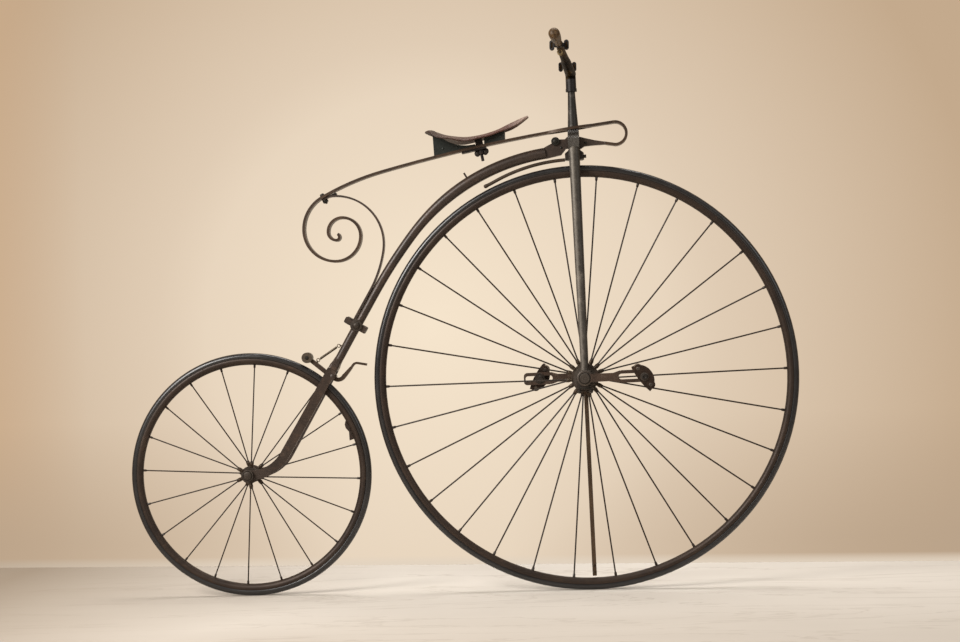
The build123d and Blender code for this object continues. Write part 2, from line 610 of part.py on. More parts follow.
blade_x, blade_z = backbone_at(BACKBONE_RUN + CROWN_H + 0.7)
foot_z = REAR_R - FRONT_R
corner_x = -WHEELBASE + BLADE_CORNER
blade_way = atan2(blade_z - foot_z, blade_x - corner_x)     # slope of the blades
blade_run = hypot(blade_x - corner_x, blade_z - foot_z) - BLADE_TANGENT
blade_x1 = blade_x - blade_run * cos(blade_way)
blade_z1 = blade_z - blade_run * sin(blade_way)
for side, name in ((-1, "fork_blade_right"), (1, "fork_blade_left")):
    with BuildPart() as blade:
        with BuildSketch(AXLE_SIDE):
            with BuildLine():
                l1 = Line((blade_x, blade_z), (blade_x1, blade_z1))
                l2 = JernArc(l1 @ 1, l1 % 1, BLADE_TANGENT / tan(blade_way / 2), -degrees(blade_way))
                l3 = Line(l2 @ 1, (-WHEELBASE, foot_z))
            trace(line_width=BLADE_W)
            with Locations((-WHEELBASE, foot_z)):
                Circle(DROPOUT_R)
        extrude(amount=60, both=True)
        with BuildSketch(Plane(origin=(AX, 0, AZ + 200))):
            with BuildLine():
                Polyline((blade_x + 40, side * BLADE_IN_TOP), (blade_x, side * BLADE_IN_TOP),
                         (-WHEELBASE + 60, side * BLADE_IN_FOOT), (-WHEELBASE - 40, side * BLADE_IN_FOOT),
                         (-WHEELBASE - 40, side * (BLADE_IN_FOOT + BLADE_T)),
                         (-WHEELBASE + 60, side * (BLADE_IN_FOOT + BLADE_T)),
                         (blade_x, side * (BLADE_IN_TOP + BLADE_T)),
                         (blade_x + 40, side * (BLADE_IN_TOP + BLADE_T)), close=True)
            make_face()
        extrude(amount=-700, mode=Mode.INTERSECT)
        with BuildSketch(REAR_SIDE):
            Circle(REAR_AXLE_D / 2 + 0.1)
        extrude(amount=80, both=True, mode=Mode.SUBTRACT)
    blade.part.label = name
    export_step(blade.part, "parts/" + name + ".step")

with BuildPart() as rear_axle:
    with BuildSketch(REAR_SIDE):
        Circle(REAR_AXLE_D / 2)
    extrude(amount=BLADE_IN_FOOT + BLADE_T + 11, both=True)
    for side in (-1, 1):
        with BuildSketch(wheel_plane(RX, RZ, side * (BLADE_IN_FOOT - 0.1))):
            Circle(9)
        extrude(amount=side * (BLADE_IN_FOOT - REAR_FLANGE_Y - 5))
        with BuildSketch(wheel_plane(RX, RZ, side * (BLADE_IN_FOOT + BLADE_T + 0.1))):
            Circle(DROPOUT_R)
        extrude(amount=-side * 2.5)
        with BuildSketch(wheel_plane(RX, RZ, side * (BLADE_IN_FOOT + BLADE_T))):
            RegularPolygon(11, 6)
        extrude(amount=-side * 9)
rear_axle.part.label = "rear_axle"
export_step(rear_axle.part, "parts/rear_axle.step")

# the leaf runs back from its front loop in one long bend, which seats the saddle's pieces
RUN_HEAD = 187.1
RUN_START = 90.0
RUN_R = 4234.0
RUN_TURN = 7.27
TAIL_R = 696.0
TAIL_TURN = 14.2
run_x0 = LOOP_X + LOOP_R * sin(radians(RUN_HEAD - 180)) * -1 + RUN_START * cos(radians(RUN_HEAD))
run_z0 = LOOP_Z - LOOP_R * cos(radians(RUN_HEAD)) + RUN_START * sin(radians(RUN_HEAD))
run_cx = run_x0 - RUN_R * sin(radians(RUN_HEAD))
run_cz = run_z0 + RUN_R * cos(radians(RUN_HEAD))


def leaf_z(x, off=0.0):
    # height of the leaf's middle at x, both from the front axle, moved off above it
    return run_cz + sqrt((RUN_R + off) ** 2 - (x - run_cx) ** 2)


def leaf_plane(x, off=0.0):
    # square to the leaf at x in part coordinates, its centre off above the leaf's middle
    lean = (x - AX - run_cx) / (RUN_R + off)
    return Plane(origin=(x, 0, AZ + leaf_z(x - AX)), x_dir=(sqrt(1 - lean ** 2), 0, -lean),
                 z_dir=(lean, 0, sqrt(1 - lean ** 2))).offset(off)


def tail_point(turn, off=0.0):
    # a point on the leaf's tail bend, turned from its start, and off above it
    h = radians(RUN_HEAD + RUN_TURN)
    cx = run_cx + (RUN_R - TAIL_R) * sin(h)
    cz = run_cz - (RUN_R - TAIL_R) * cos(h)
    a = h + radians(turn)
    return (cx + (TAIL_R + off) * sin(a), cz - (TAIL_R + off) * cos(a))


# saddle spring: front loop, leaf with an eye round the column, and the scroll at its tail
with BuildPart() as saddle_spring:
    with BuildSketch(AXLE_SIDE):
        with BuildLine():
            a = JernArc((LOOP_X, LOOP_Z - LOOP_R), (1, 0), LOOP_R, RUN_HEAD)
            Line((LUG_TIP_X + 0.8, LOOP_Z - LOOP_R + 4), (LOOP_X, LOOP_Z - LOOP_R))
            b = Line(a @ 1, a @ 1 + (a % 1) * RUN_START)
            c = JernArc(b @ 1, b % 1, RUN_R, RUN_TURN)
            c = JernArc(c @ 1, c % 1, TAIL_R, TAIL_TURN)
            for r, sweep_angle in ((97.5, 61.6), (84.6, 90), (66.8, 90), (48.6, 90), (37.7, 90), (21.9, 90),
                                   (8, 90), (9.6, 60)):
                c = JernArc(c @ 1, c % 1, r, sweep_angle)
        trace(line_width=LEAF_T)
    extrude(amount=EYE_HALF + 8, both=True)
    with BuildSketch(Plane(origin=(AX, 0, AZ))):
        with Locations((-350, 0)):
            Rectangle(1000, LEAF_W)
        with Locations((-22, 0)):
            Ellipse(68, EYE_HALF + 7.5)
            Ellipse(58, EYE_HALF, mode=Mode.SUBTRACT)
    extrude(amount=SEAM_W + 100, mode=Mode.INTERSECT)
    with BuildSketch(leaf_plane(CLAMP_X)):
        Circle(CLAMP_BOLT_D / 2 + 0.1)
    extrude(amount=20, both=True, mode=Mode.SUBTRACT)
saddle_spring.part.label = "saddle_spring"
export_step(saddle_spring.part, "parts/saddle_spring.step")

# the stay: from under the scroll's bolt, over and down to lie along the backbone
COLLAR_S = 102.0            # along the backbone's straight part
COLLAR_H = 13.0


def backbone_r(s):
    return (23.5 - 1.5 * s / BACKBONE_RUN) * BACKBONE_FOOT_D / 44


stay_off = backbone_r(COLLAR_S) + STAY_T / 2 + 0.5
foot_s = COLLAR_S - COLLAR_H / 2 - 0.8
fx, fz = backbone_at(foot_s, stay_off)
under = -(LEAF_T + STAY_T) / 2 - 0.4
with BuildPart() as spring_stay:
    with BuildSketch(AXLE_SIDE):
        with BuildLine():
            t = Line(tail_point(TAIL_TURN + 0.3, under), tail_point(TAIL_TURN - 0.6, under))
            a = JernArc(t @ 1, t % 1, 45, -26.7)
            b = JernArc(a @ 1, a % 1, 128, -101.4)
            # the last bend's radius brings the stay tangent to its line along the backbone
            turn = radians(LEAN) + atan2((b % 1).Y, (b % 1).X) + radians(180 - 2 * LEAN)
            off0 = ((b @ 1).X - fx) * DOWN_Z - ((b @ 1).Y - fz) * DOWN_X
            c = JernArc(b @ 1, b % 1, off0 / (1 - cos(turn)), -degrees(turn))
            Line(c @ 1, (fx, fz))
        trace(line_width=STAY_T)
    extrude(amount=STAY_W / 2, both=True)
spring_stay.part.label = "spring_stay"
export_step(spring_stay.part, "parts/spring_stay.step")

with BuildPart() as stay_collar:
    cx, cz = backbone_at(COLLAR_S, 4)
    across = Plane(origin=(AX + cx, 0, AZ + cz), x_dir=(DOWN_Z, 0, -DOWN_X), z_dir=(0, -1, 0))
    with BuildSketch(across):
        Rectangle(58, 12)
        with Locations((-25, 0), (25, 0)):
            RectangleRounded(13, 17, 4)
    extrude(amount=backbone_r(COLLAR_S) + 5, both=True)
    with BuildSketch(wheel_plane(AX + cx - 4 * DOWN_Z, AZ + cz + 4 * DOWN_X, 0)):
        Circle(12)
    extrude(amount=backbone_r(COLLAR_S) + 9)
    with BuildSketch(backbone_plane(COLLAR_S - 30)):
        Circle(backbone_r(COLLAR_S - 30) + 0.15)
    with BuildSketch(backbone_plane(COLLAR_S + 30)):
        Circle(backbone_r(COLLAR_S + 30) + 0.15)
    loft(mode=Mode.SUBTRACT)
stay_collar.part.label = "stay_collar"
export_step(stay_collar.part, "parts/stay_collar.step")

# brake: a lever rocking between the blades, its roller over the rear tyre, and its return spring
ROLLER_R = 14.0
ROLLER_AT = 62.5            # about the rear axle, degrees
roller_far = REAR_R + 8.5 + ROLLER_R
ROLLER_X = -WHEELBASE + roller_far * cos(radians(ROLLER_AT))
ROLLER_Z = REAR_R - FRONT_R + roller_far * sin(radians(ROLLER_AT))
px, pz = backbone_at(BACKBONE_RUN + CROWN_H + 16.4, -9.8)
reach = hypot(px - ROLLER_X, pz - ROLLER_Z)
near = (ROLLER_R + FIT) / reach
LEVER_HALF = 5.5
with BuildPart() as brake_lever:
    with BuildSketch(AXLE_SIDE):
        with BuildLine():
            l1 = FilletPolyline((ROLLER_X + near * (px - ROLLER_X), ROLLER_Z + near * (pz - ROLLER_Z)),
                                (px - 22, pz + 13), (px + 16, pz - 16), (px + 30, pz + 2.2), radius=[60, 17])
        trace(line_width=2 * LEVER_HALF)
        with BuildLine():
            Polyline((px + 25, pz + 4.2), (px + 33.7, pz - 2.5), (px + 51, pz + 20), (px + 45.3, pz + 24.6), close=True)
        make_face()
        with BuildLine():
            FilletPolyline((px + 46, pz + 19.5), (px + 58, pz + 35), (px + 90, pz + 29), radius=12)
        trace(line_width=6)
        with Locations((px, pz)):
            Circle(8)
    extrude(amount=6, both=True)
    with BuildSketch(side_plane(px, pz)):
        Circle(4)
    extrude(amount=BLADE_IN_TOP, both=True)
    with BuildSketch(side_plane(ROLLER_X, ROLLER_Z)):
        Circle(ROLLER_R + FIT)
    extrude(amount=30, both=True, mode=Mode.SUBTRACT)
brake_lever.part.label = "brake_lever"
export_step(brake_lever.part, "parts/brake_lever.step")

with BuildPart() as brake_roller:
    with BuildSketch(side_plane(ROLLER_X, ROLLER_Z)):
        Circle(ROLLER_R)
    extrude(amount=14, both=True)
brake_roller.part.label = "brake_roller"
export_step(brake_roller.part, "parts/brake_roller.step")

with BuildPart() as brake_spring:
    for x0, z0, x1, z1, d in ((-43, 43, 17, 82, 2.2), (-33, 49.5, 10, 77.5, 6.0), (-43, 38.9, -43, 43, 3.0),
                              (16, 81.3, 23.8, 81.3, 3.0)):
        with BuildSketch(Plane(origin=(AX + px + x0, 0, AZ + pz + z0), z_dir=(x1 - x0, 0, z1 - z0))):
            Circle(d / 2)
        extrude(amount=hypot(x1 - x0, z1 - z0))
brake_spring.part.label = "brake_spring"
export_step(brake_spring.part, "parts/brake_spring.step")

# ---------------------------------------------------------------- saddle
def seat_z(x, off=LEAF_T / 2 + 0.15):
    # the leaf's upper face below the saddle, in part coordinates
    return AZ + leaf_z(x - AX, off)


# the leather's arched cross-sections: place, height of its crest, half width, drop of its sides
SADDLE_ROWS = ((-116, 12, 30, 3), (-104, 15.8, 56, 8), (-86, 11, 69, 16), (-54, 0.2, 72, 12),
               (-10, -4.2, 50, 13), (34.5, 0.4, 36, 10), (79, 13.4, 27, 9), (100, 22.5, 25, 13),
               (124, 33.9, 22, 14), (142, 41, 18, 9), (158, 46.3, 9, 2))
with BuildPart() as saddle_leather:
    for x, top, half, drop in SADDLE_ROWS:
        with BuildSketch(Plane(origin=(x, 0, top), x_dir=(0, 1, 0), z_dir=(1, 0, 0))):
            with BuildLine():
                upper = ThreePointArc((-half, -drop), (0, 0), (half, -drop))
                lower = ThreePointArc((-half, -drop - SADDLE_T), (0, -SADDLE_T), (half, -drop - SADDLE_T))
                Line(upper @ 0, lower @ 0)
                Line(upper @ 1, lower @ 1)
            make_face()
    loft()
saddle_leather.part.label = "saddle_leather"
export_step(saddle_leather.part, "parts/saddle_leather.step")

with BuildPart() as saddle_riser_rear:
    with BuildSketch(Plane.XZ):
        with BuildLine():
            Line((-95, 7), (-92, seat_z(-92)))
            low = ThreePointArc((-92, seat_z(-92)), (-38, seat_z(-38)), (17, seat_z(17)))
            Line(low @ 1, (17, -25))
            top = ThreePointArc((17, -25), (-28, -25.5), (-78, 0.5))
            Line(top @ 1, (-95, 7))
        make_face()
    extrude(amount=LEAF_W / 2, both=True)
    with BuildSketch(Plane.XZ):
        with Locations((-26, -20)):
            Rectangle(108, 100)
    extrude(amount=LEAF_W / 2 - 3, both=True, mode=Mode.SUBTRACT)
saddle_riser_rear.part.label = "saddle_riser_rear"
export_step(saddle_riser_rear.part, "parts/saddle_riser_rear.step")

with BuildPart() as saddle_riser_front:
    with BuildSketch(Plane.XZ):
        with BuildLine():
            Polyline((41, seat_z(41)), (96, seat_z(96)), (96, 12.5), (78, 5.5), (58, -1.5), (41, -9), close=True)
        make_face()
    extrude(amount=12, both=True)
saddle_riser_front.part.label = "saddle_riser_front"
export_step(saddle_riser_front.part, "parts/saddle_riser_front.step")

with BuildPart() as saddle_clamp:
    with BuildSketch(leaf_plane(CLAMP_X, LEAF_T / 2 + 0.15)):
        Rectangle(19, 24)
    extrude(amount=18)
    with BuildSketch(leaf_plane(CLAMP_X, -LEAF_T / 2 - 0.5)):
        with Locations((-17, 0)):
            Rectangle(66, 26)
    extrude(amount=-5)
    with BuildSketch(leaf_plane(CLAMP_X, 10)):
        Circle(CLAMP_BOLT_D / 2)
    extrude(amount=-49)
    with BuildSketch(leaf_plane(CLAMP_X, -LEAF_T / 2 - 5)):
        Circle(8)
    extrude(amount=-12)
    nut = leaf_plane(CLAMP_X, -18)
    with BuildSketch(Plane(origin=nut.origin, x_dir=nut.x_dir, z_dir=(0, -1, 0))):
        with Locations((-10.5, 0), (10.5, 0)):
            Circle(7)
        Rectangle(16, 9)
    extrude(amount=3, both=True)
saddle_clamp.part.label = "saddle_clamp"
export_step(saddle_clamp.part, "parts/saddle_clamp.step")

# ---------------------------------------------------------------- rear wheel
with BuildPart() as rear_tyre:
    with BuildSketch(Plane(origin=(RX, 0, RZ))):
        with Locations((REAR_R - TYRE_D / 2, 0)):
            Circle(TYRE_D / 2)
    revolve(axis=REAR_AXIS)
rear_tyre.part.label = "rear_tyre"
export_step(rear_tyre.part, "parts/rear_tyre.step")

with BuildPart() as rear_rim:
    with BuildSketch(Plane(origin=(RX, 0, RZ))):
        with BuildLine():
            ThreePointArc((RIM_TOP_REAR, -RIM_W / 2), (RIM_IN_REAR, 0), (RIM_TOP_REAR, RIM_W / 2))
            Line((RIM_TOP_REAR, RIM_W / 2), (RIM_TOP_REAR, -RIM_W / 2))
        make_face()
        with Locations((REAR_R - TYRE_D / 2, 0)):
            Circle(TYRE_D / 2 + 0.1, mode=Mode.SUBTRACT)
    revolve(axis=REAR_AXIS)
rear_rim.part.label = "rear_rim"
export_step(rear_rim.part, "parts/rear_rim.step")

# ten lugs and one more: nine hold a loop of two spokes, two hold one spoke each
rear_lugs = []
for i in range(5):
    rear_lugs.append((-9 - 36 * i, (-9 - 36 * i + 9, -9 - 36 * i - 9)))
rear_lugs.append((-180, (-180,)))
for i in range(4):
    rear_lugs.append((-207 - 36 * i, (-207 - 36 * i + 9, -207 - 36 * i - 9)))
rear_lugs.append((-342, (-342,)))
rear_spoke_planes = []
rear_lug_r = REAR_FLANGE_R + REAR_LUG_OUT + 0.4
for k in range(len(rear_lugs)):
    lug, tips = rear_lugs[k]
    side = -1 if k % 2 == 0 else 1
    for tip in tips:
        half = 0 if len(tips) == 1 else (1 if tip > lug else -1)
        rear_spoke_planes.append(spoke_plane(RX, RZ, REAR_PHASE + lug, half * SPOKE_GAP / 2, rear_lug_r,
                                             side * REAR_FLANGE_Y, REAR_PHASE + tip, RIM_IN_REAR))
rear_spoke_length = hypot(RIM_IN_REAR * cos(radians(9)) - rear_lug_r, REAR_FLANGE_Y,
                          RIM_IN_REAR * sin(radians(9)) - SPOKE_GAP / 2) - 0.4
with BuildPart() as rear_spokes:
    with BuildSketch(*rear_spoke_planes):
        Circle(SPOKE_D / 2)
    extrude(amount=rear_spoke_length)
rear_spokes.part.label = "rear_spokes"
export_step(rear_spokes.part, "parts/rear_spokes.step")

with BuildPart() as rear_hub:
    with BuildSketch(wheel_plane(RX, RZ, 0)):
        Circle(REAR_HUB_R)
    extrude(amount=REAR_FLANGE_Y, both=True)
    for side in (-1, 1):
        with BuildSketch(wheel_plane(RX, RZ, side * REAR_FLANGE_Y)):
            Circle(REAR_FLANGE_R)
            for k in range(len(rear_lugs)):
                if (k % 2 == 0) == (side < 0):
                    with PolarLocations(REAR_FLANGE_R + REAR_LUG_OUT / 2 - 2, 1, start_angle=REAR_PHASE + rear_lugs[k][0]):
                        Rectangle(REAR_LUG_OUT + 4, LUG_W)
        extrude(amount=FLANGE_T / 2, both=True)
    with BuildSketch(wheel_plane(RX, RZ, 0)):
        Circle(REAR_AXLE_D / 2 + FIT)
    extrude(amount=40, both=True, mode=Mode.SUBTRACT)
rear_hub.part.label = "rear_hub"
export_step(rear_hub.part, "parts/rear_hub.step")

with BuildPart() as rim_bracket:
    with BuildSketch(REAR_SIDE):
        with BuildLine():
            Polyline([((RIM_IN_REAR - d) * cos(radians(a)), (RIM_IN_REAR - d) * sin(radians(a)))
                      for a, d in ((17.5, 0.3), (20, 0.3), (22.5, 0.3), (25, 0.3), (28, 0.3), (26.5, 7), (24.5, 9), (22, 5),
                                   (17.5, 12))], close=True)
        make_face()
    extrude(amount=4, both=True)
rim_bracket.part.label = "rim_bracket"
export_step(rim_bracket.part, "parts/rim_bracket.step")
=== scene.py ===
import json
from math import cos, pi, radians, sin

import bmesh
import bpy
from mathutils import Matrix, Vector


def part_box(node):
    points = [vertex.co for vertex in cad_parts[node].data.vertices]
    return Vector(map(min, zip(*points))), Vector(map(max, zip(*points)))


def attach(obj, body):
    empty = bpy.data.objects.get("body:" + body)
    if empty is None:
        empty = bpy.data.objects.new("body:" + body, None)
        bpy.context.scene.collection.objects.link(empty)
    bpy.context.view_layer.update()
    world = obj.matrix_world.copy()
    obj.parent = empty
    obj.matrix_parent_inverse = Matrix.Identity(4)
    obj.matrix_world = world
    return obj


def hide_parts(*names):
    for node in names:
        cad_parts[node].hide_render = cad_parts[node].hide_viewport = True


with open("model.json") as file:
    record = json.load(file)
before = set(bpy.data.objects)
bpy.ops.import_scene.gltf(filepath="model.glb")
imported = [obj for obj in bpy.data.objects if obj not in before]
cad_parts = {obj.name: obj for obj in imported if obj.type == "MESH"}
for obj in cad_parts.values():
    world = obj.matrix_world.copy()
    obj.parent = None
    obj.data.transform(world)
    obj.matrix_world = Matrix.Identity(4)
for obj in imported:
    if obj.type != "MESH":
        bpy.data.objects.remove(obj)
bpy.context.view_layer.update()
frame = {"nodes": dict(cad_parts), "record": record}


# -------------------- camera, floor, backdrop and lamps
# The bicycle stands on a pale studio floor in front of a paper sweep.
# Two wide soft lamps stand before it, one each side, and a third behind. The camera looks at its right side.
def middle(node):
    """The centre of a CAD node's box."""
    low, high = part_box(node)
    return (low + high) / 2


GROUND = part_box("front_tyre")[0].z
AXLE = middle("front_hub")
CAMERA_AT = Vector((0.366, -5.0, -0.492))
CAMERA_YAW = radians(4.0)
CAMERA_ROLL = radians(-1.587)
LENS = 71.07
SENSOR = 36.0
FLOOR_R = 16.0
SWEEP_FROM = 0.55           # where the paper leaves the floor, behind the bicycle
SWEEP_R = 0.35
SWEEP_H = 4.0
SWEEP_HALF = 4.5
SWEEP_LIFT = 0.0005         # keeps the paper's edge off the floor
SWEEP_TURN = radians(-5.0)  # its right end stands a little nearer
GLOW_AT = (-0.20, -0.50)    # the backdrop's brightest spot, across and up
GLOW_SIZE = (1.62, 1.62)


def put(name, data):
    """Stands mesh, camera or lamp data in the scene, at the origin."""
    made = bpy.data.objects.new(name, data)
    bpy.context.scene.collection.objects.link(made)
    return made


def place_mesh(name, bm):
    """Turns a finished bmesh into an object with smooth faces."""
    mesh = bpy.data.meshes.new(name)
    bm.to_mesh(mesh)
    bm.free()
    for face in mesh.polygons:
        face.use_smooth = True
    return put(name, mesh)


def tint(red, green, blue):
    """A colour as it reads on a paint card, 0 to 255, turned into the shader's own scale."""
    def plain(v):
        v = v / 255
        return v / 12.92 if v <= 0.04045 else ((v + 0.055) / 1.055) ** 2.4
    return (plain(red), plain(green), plain(blue), 1.0)


def finish(name, **sockets):
    """A new material with plain values on its shader's sockets, and the parts to build on it."""
    material = bpy.data.materials.new(name)
    material.use_nodes = True
    shader = material.node_tree.nodes["Principled BSDF"]
    for key, value in sockets.items():
        shader.inputs[key.replace("_", " ")].default_value = value
    return material, material.node_tree, shader


def feed(tree, socket, value):
    """Wires another node's output to a socket, or sets the socket to a plain value."""
    if isinstance(value, bpy.types.NodeSocket):
        tree.links.new(value, socket)
    else:
        socket.default_value = value


def add(tree, kind, *wires, **settings):
    """Adds a shader node with its settings; wires are its inputs' names, each with a value or an output."""
    made = tree.nodes.new("ShaderNode" + kind)
    for key, value in settings.items():
        setattr(made, key, value)
    for name, value in wires:
        feed(tree, next(s for s in made.inputs if s.name == name and s.enabled), value)
    return made


def spot(tree):
    """The shaded point, in the scene's own metres."""
    return add(tree, "TexCoord").outputs["Object"]


def axes(tree):
    return add(tree, "SeparateXYZ", ("Vector", spot(tree))).outputs


def drawn_out(tree, where, *scale):
    """The same place with its axes scaled, so that what is laid on it is drawn out along the small ones."""
    return add(tree, "Mapping", ("Vector", where), ("Scale", scale)).outputs["Vector"]


def noise(tree, where, scale, detail=4.0, roughness=0.6, distortion=0.0):
    return add(tree, "TexNoise", ("Vector", where), ("Scale", scale), ("Detail", detail),
               ("Roughness", roughness), ("Distortion", distortion)).outputs["Fac"]


def cells(tree, where, scale, feature="F1"):
    """Distances inside a net of cells: from their middles, or from their edges."""
    return add(tree, "TexVoronoi", ("Vector", where), ("Scale", scale), feature=feature).outputs["Distance"]


def spread(tree, value, low, high, to_low=0.0, to_high=1.0):
    return add(tree, "MapRange", ("Value", value), ("From Min", low), ("From Max", high),
               ("To Min", to_low), ("To Max", to_high)).outputs["Result"]


def blend_colour(tree, factor, first, second):
    """The first colour, turned into the second as the factor goes from 0 to 1."""
    made = add(tree, "Mix", ("Factor", factor), ("A", first), ("B", second), data_type="RGBA")
    return next(s for s in made.outputs if s.enabled)


def sums(tree, way, first, second=0.0):
    made = add(tree, "Math", operation=way)
    for socket, value in zip(made.inputs, (first, second)):
        feed(tree, socket, value)
    return made.outputs[0]


def plus(tree, first, second):
    return sums(tree, "ADD", first, second)


def less(tree, first, second):
    return sums(tree, "SUBTRACT", first, second)


def times(tree, first, second):
    return sums(tree, "MULTIPLY", first, second)


def skin_over(tree, colour, roughness, height, strength, depth):
    """Wires a material's colour, its roughness and the relief of its skin to its shader."""
    inputs = tree.nodes["Principled BSDF"].inputs
    relief = add(tree, "Bump", ("Height", height), ("Strength", strength), ("Distance", depth))
    for name, value in (("Base Color", colour), ("Roughness", roughness), ("Normal", relief.outputs[0])):
        tree.links.new(value, inputs[name])


camera_data = bpy.data.cameras.new("camera")
camera_data.lens = LENS
camera_data.sensor_width = SENSOR
camera = put("camera", camera_data)
level = Vector((cos(CAMERA_YAW), sin(CAMERA_YAW), 0))
ahead = Vector((-sin(CAMERA_YAW), cos(CAMERA_YAW), 0))
upright = Vector((0, 0, 1))
across = level * cos(CAMERA_ROLL) + upright * sin(CAMERA_ROLL)
above = upright * cos(CAMERA_ROLL) - level * sin(CAMERA_ROLL)
camera.matrix_world = Matrix.Translation(CAMERA_AT) @ Matrix((across, above, -ahead)).transposed().to_4x4()
bpy.context.scene.camera = camera
bpy.context.scene.view_settings.view_transform = "Standard"

bm = bmesh.new()
bmesh.ops.create_circle(bm, cap_ends=True, segments=96, radius=FLOOR_R)
bmesh.ops.translate(bm, verts=bm.verts, vec=(AXLE.x, 0, GROUND))
floor = place_mesh("floor", bm)

bm = bmesh.new()
edge_ends = [bm.verts.new((x, SWEEP_FROM, GROUND + SWEEP_LIFT)) for x in (-SWEEP_HALF, SWEEP_HALF)]
edge = bm.edges.new(edge_ends)
bend = bmesh.ops.spin(bm, geom=edge_ends + [edge], cent=(0, SWEEP_FROM, GROUND + SWEEP_R), axis=(1, 0, 0),
                      angle=radians(90), steps=24)
top = [e for e in bend["geom_last"] if isinstance(e, bmesh.types.BMEdge)]
wall = bmesh.ops.extrude_edge_only(bm, edges=top)["geom"]
bmesh.ops.translate(bm, verts=[v for v in wall if isinstance(v, bmesh.types.BMVert)], vec=(0, 0, SWEEP_H))
bmesh.ops.rotate(bm, verts=bm.verts, cent=(0, SWEEP_FROM, 0), matrix=Matrix.Rotation(SWEEP_TURN, 3, "Z"))
backdrop = place_mesh("backdrop", bm)

# painted light for the glowing sweep: its bright middle, and painted shade towards its edges, its left end
# and low down
PAPER_PAINTED_GLOW = tint(246, 229, 205)
PAPER_GLOW_FADING = tint(229, 210, 187)
PAPER_PAINTED_FALLOFF = tint(196, 170, 141)
PAPER_PAINTED_FALLOFF_LEFT = tint(203, 170, 136)
PAPER_PAINTED_SHADE_LOW = tint(186, 163, 138)
# the painted glow that the sweep fades into at its foot, darker to the left as painted shade
FLOOR_GLOW = tint(226, 211, 192)
FLOOR_GLOW_LEFT = tint(178, 160, 139)
# the floor's own pale colour, and the darker tone used both for its painted fall-off of light and for its
# marks
FLOOR_PALE = tint(226, 218, 208)
FLOOR_FALLOFF_AND_MARKS = tint(153, 138, 121)

material, tree, shader = finish("paper_floor", Roughness=0.9)
parts = axes(tree)
# painted shade: the floor darkens strongly towards its left, a little towards its right, and towards the
# front, as the lamps' light falls off
side = plus(tree, parts["X"], -AXLE.x + 0.35)
side = sums(tree, "MAXIMUM", times(tree, side, -1.0), times(tree, side, 0.2))
side = spread(tree, side, 0.2, 1.35)
painted_front_shade = spread(tree, parts["Y"], 0.05, -0.75, 0.0, 0.4)
colour = blend_colour(tree, sums(tree, "MAXIMUM", side, painted_front_shade), FLOOR_PALE, FLOOR_FALLOFF_AND_MARKS)
# broad soft darker patches, and thin dark veins, over the paper
broad_patches = noise(tree, drawn_out(tree, spot(tree), 0.8, 3.0, 1.0), 1.4, 3.0)
colour = blend_colour(tree, spread(tree, broad_patches, 0.35, 0.7, 0.0, 0.12), colour, FLOOR_FALLOFF_AND_MARKS)
streak = noise(tree, drawn_out(tree, spot(tree), 0.7, 3.4, 1.0), 1.1, 6.0, 0.62, 0.7)
vein = spread(tree, sums(tree, "ABSOLUTE", less(tree, streak, 0.5)), 0.0, 0.012, 0.26, 0.0)
colour = blend_colour(tree, vein, colour, FLOOR_FALLOFF_AND_MARKS)
tree.links.new(colour, shader.inputs["Base Color"])
floor.data.materials.append(material)

# the paper is lit from within, so that no lamp's edge shows on it, and only its face is seen; its colour is a
# painted pool of light, brightest at GLOW_AT, with painted shade towards its edges, its left end and low down
# at its sides
material, tree, shader = finish("paper_sweep", Roughness=0.9)
parts = axes(tree)
wide, high = (sums(tree, "DIVIDE", less(tree, parts[axis], at), size)
              for axis, at, size in zip("XZ", GLOW_AT, GLOW_SIZE))
far = sums(tree, "SQRT", plus(tree, sums(tree, "POWER", wide, 2.0), sums(tree, "POWER", high, 2.0)))
colour = blend_colour(tree, spread(tree, far, 0.0, 0.55), PAPER_PAINTED_GLOW, PAPER_GLOW_FADING)
colour = blend_colour(tree, spread(tree, far, 0.45, 1.05), colour, PAPER_PAINTED_FALLOFF)
colour = blend_colour(tree, spread(tree, wide, -0.7, -1.0), colour, PAPER_PAINTED_FALLOFF_LEFT)
low = times(tree, spread(tree, parts["Z"], GROUND + 0.42, GROUND + 0.05),
            spread(tree, sums(tree, "ABSOLUTE", wide), 0.15, 1.0))
colour = blend_colour(tree, low, colour, PAPER_PAINTED_SHADE_LOW)
foot = blend_colour(tree, spread(tree, wide, -1.0, -0.35), FLOOR_GLOW_LEFT, FLOOR_GLOW)
colour = blend_colour(tree, spread(tree, parts["Z"], GROUND + 0.015, GROUND + 0.001, 0.0, 0.85), colour, foot)
tree.links.new(colour, shader.inputs["Base Color"])
glow = add(tree, "Emission", ("Color", colour), ("Strength", 1.0)).outputs[0]
clear = add(tree, "BsdfTransparent").outputs[0]
ray_kind = add(tree, "LightPath").outputs
seen = sums(tree, "MAXIMUM", ray_kind["Is Camera Ray"],
            sums(tree, "MAXIMUM", ray_kind["Is Glossy Ray"], ray_kind["Is Transmission Ray"]))
shown = add(tree, "MixShader")
front = add(tree, "MixShader")
for mixer, values in ((shown, (seen, clear, glow)),
                      (front, (add(tree, "NewGeometry").outputs["Backfacing"], shown.outputs[0], clear))):
    for socket, value in zip(mixer.inputs, values):
        tree.links.new(value, socket)
tree.links.new(front.outputs[0], tree.nodes["Material Output"].inputs["Surface"])
backdrop.data.materials.append(material)


def soft_lamp(name, at, aim, wide, high, power, colour):
    """A rectangular lamp at a place, turned to aim at another, its power in watts."""
    data = bpy.data.lights.new(name, "AREA")
    data.shape = "RECTANGLE"
    data.size = wide
    data.size_y = high
    data.energy = power
    data.color = colour
    lamp = put(name, data)
    lamp.location = at
    lamp.rotation_euler = (Vector(aim) - Vector(at)).to_track_quat("-Z", "Y").to_euler()


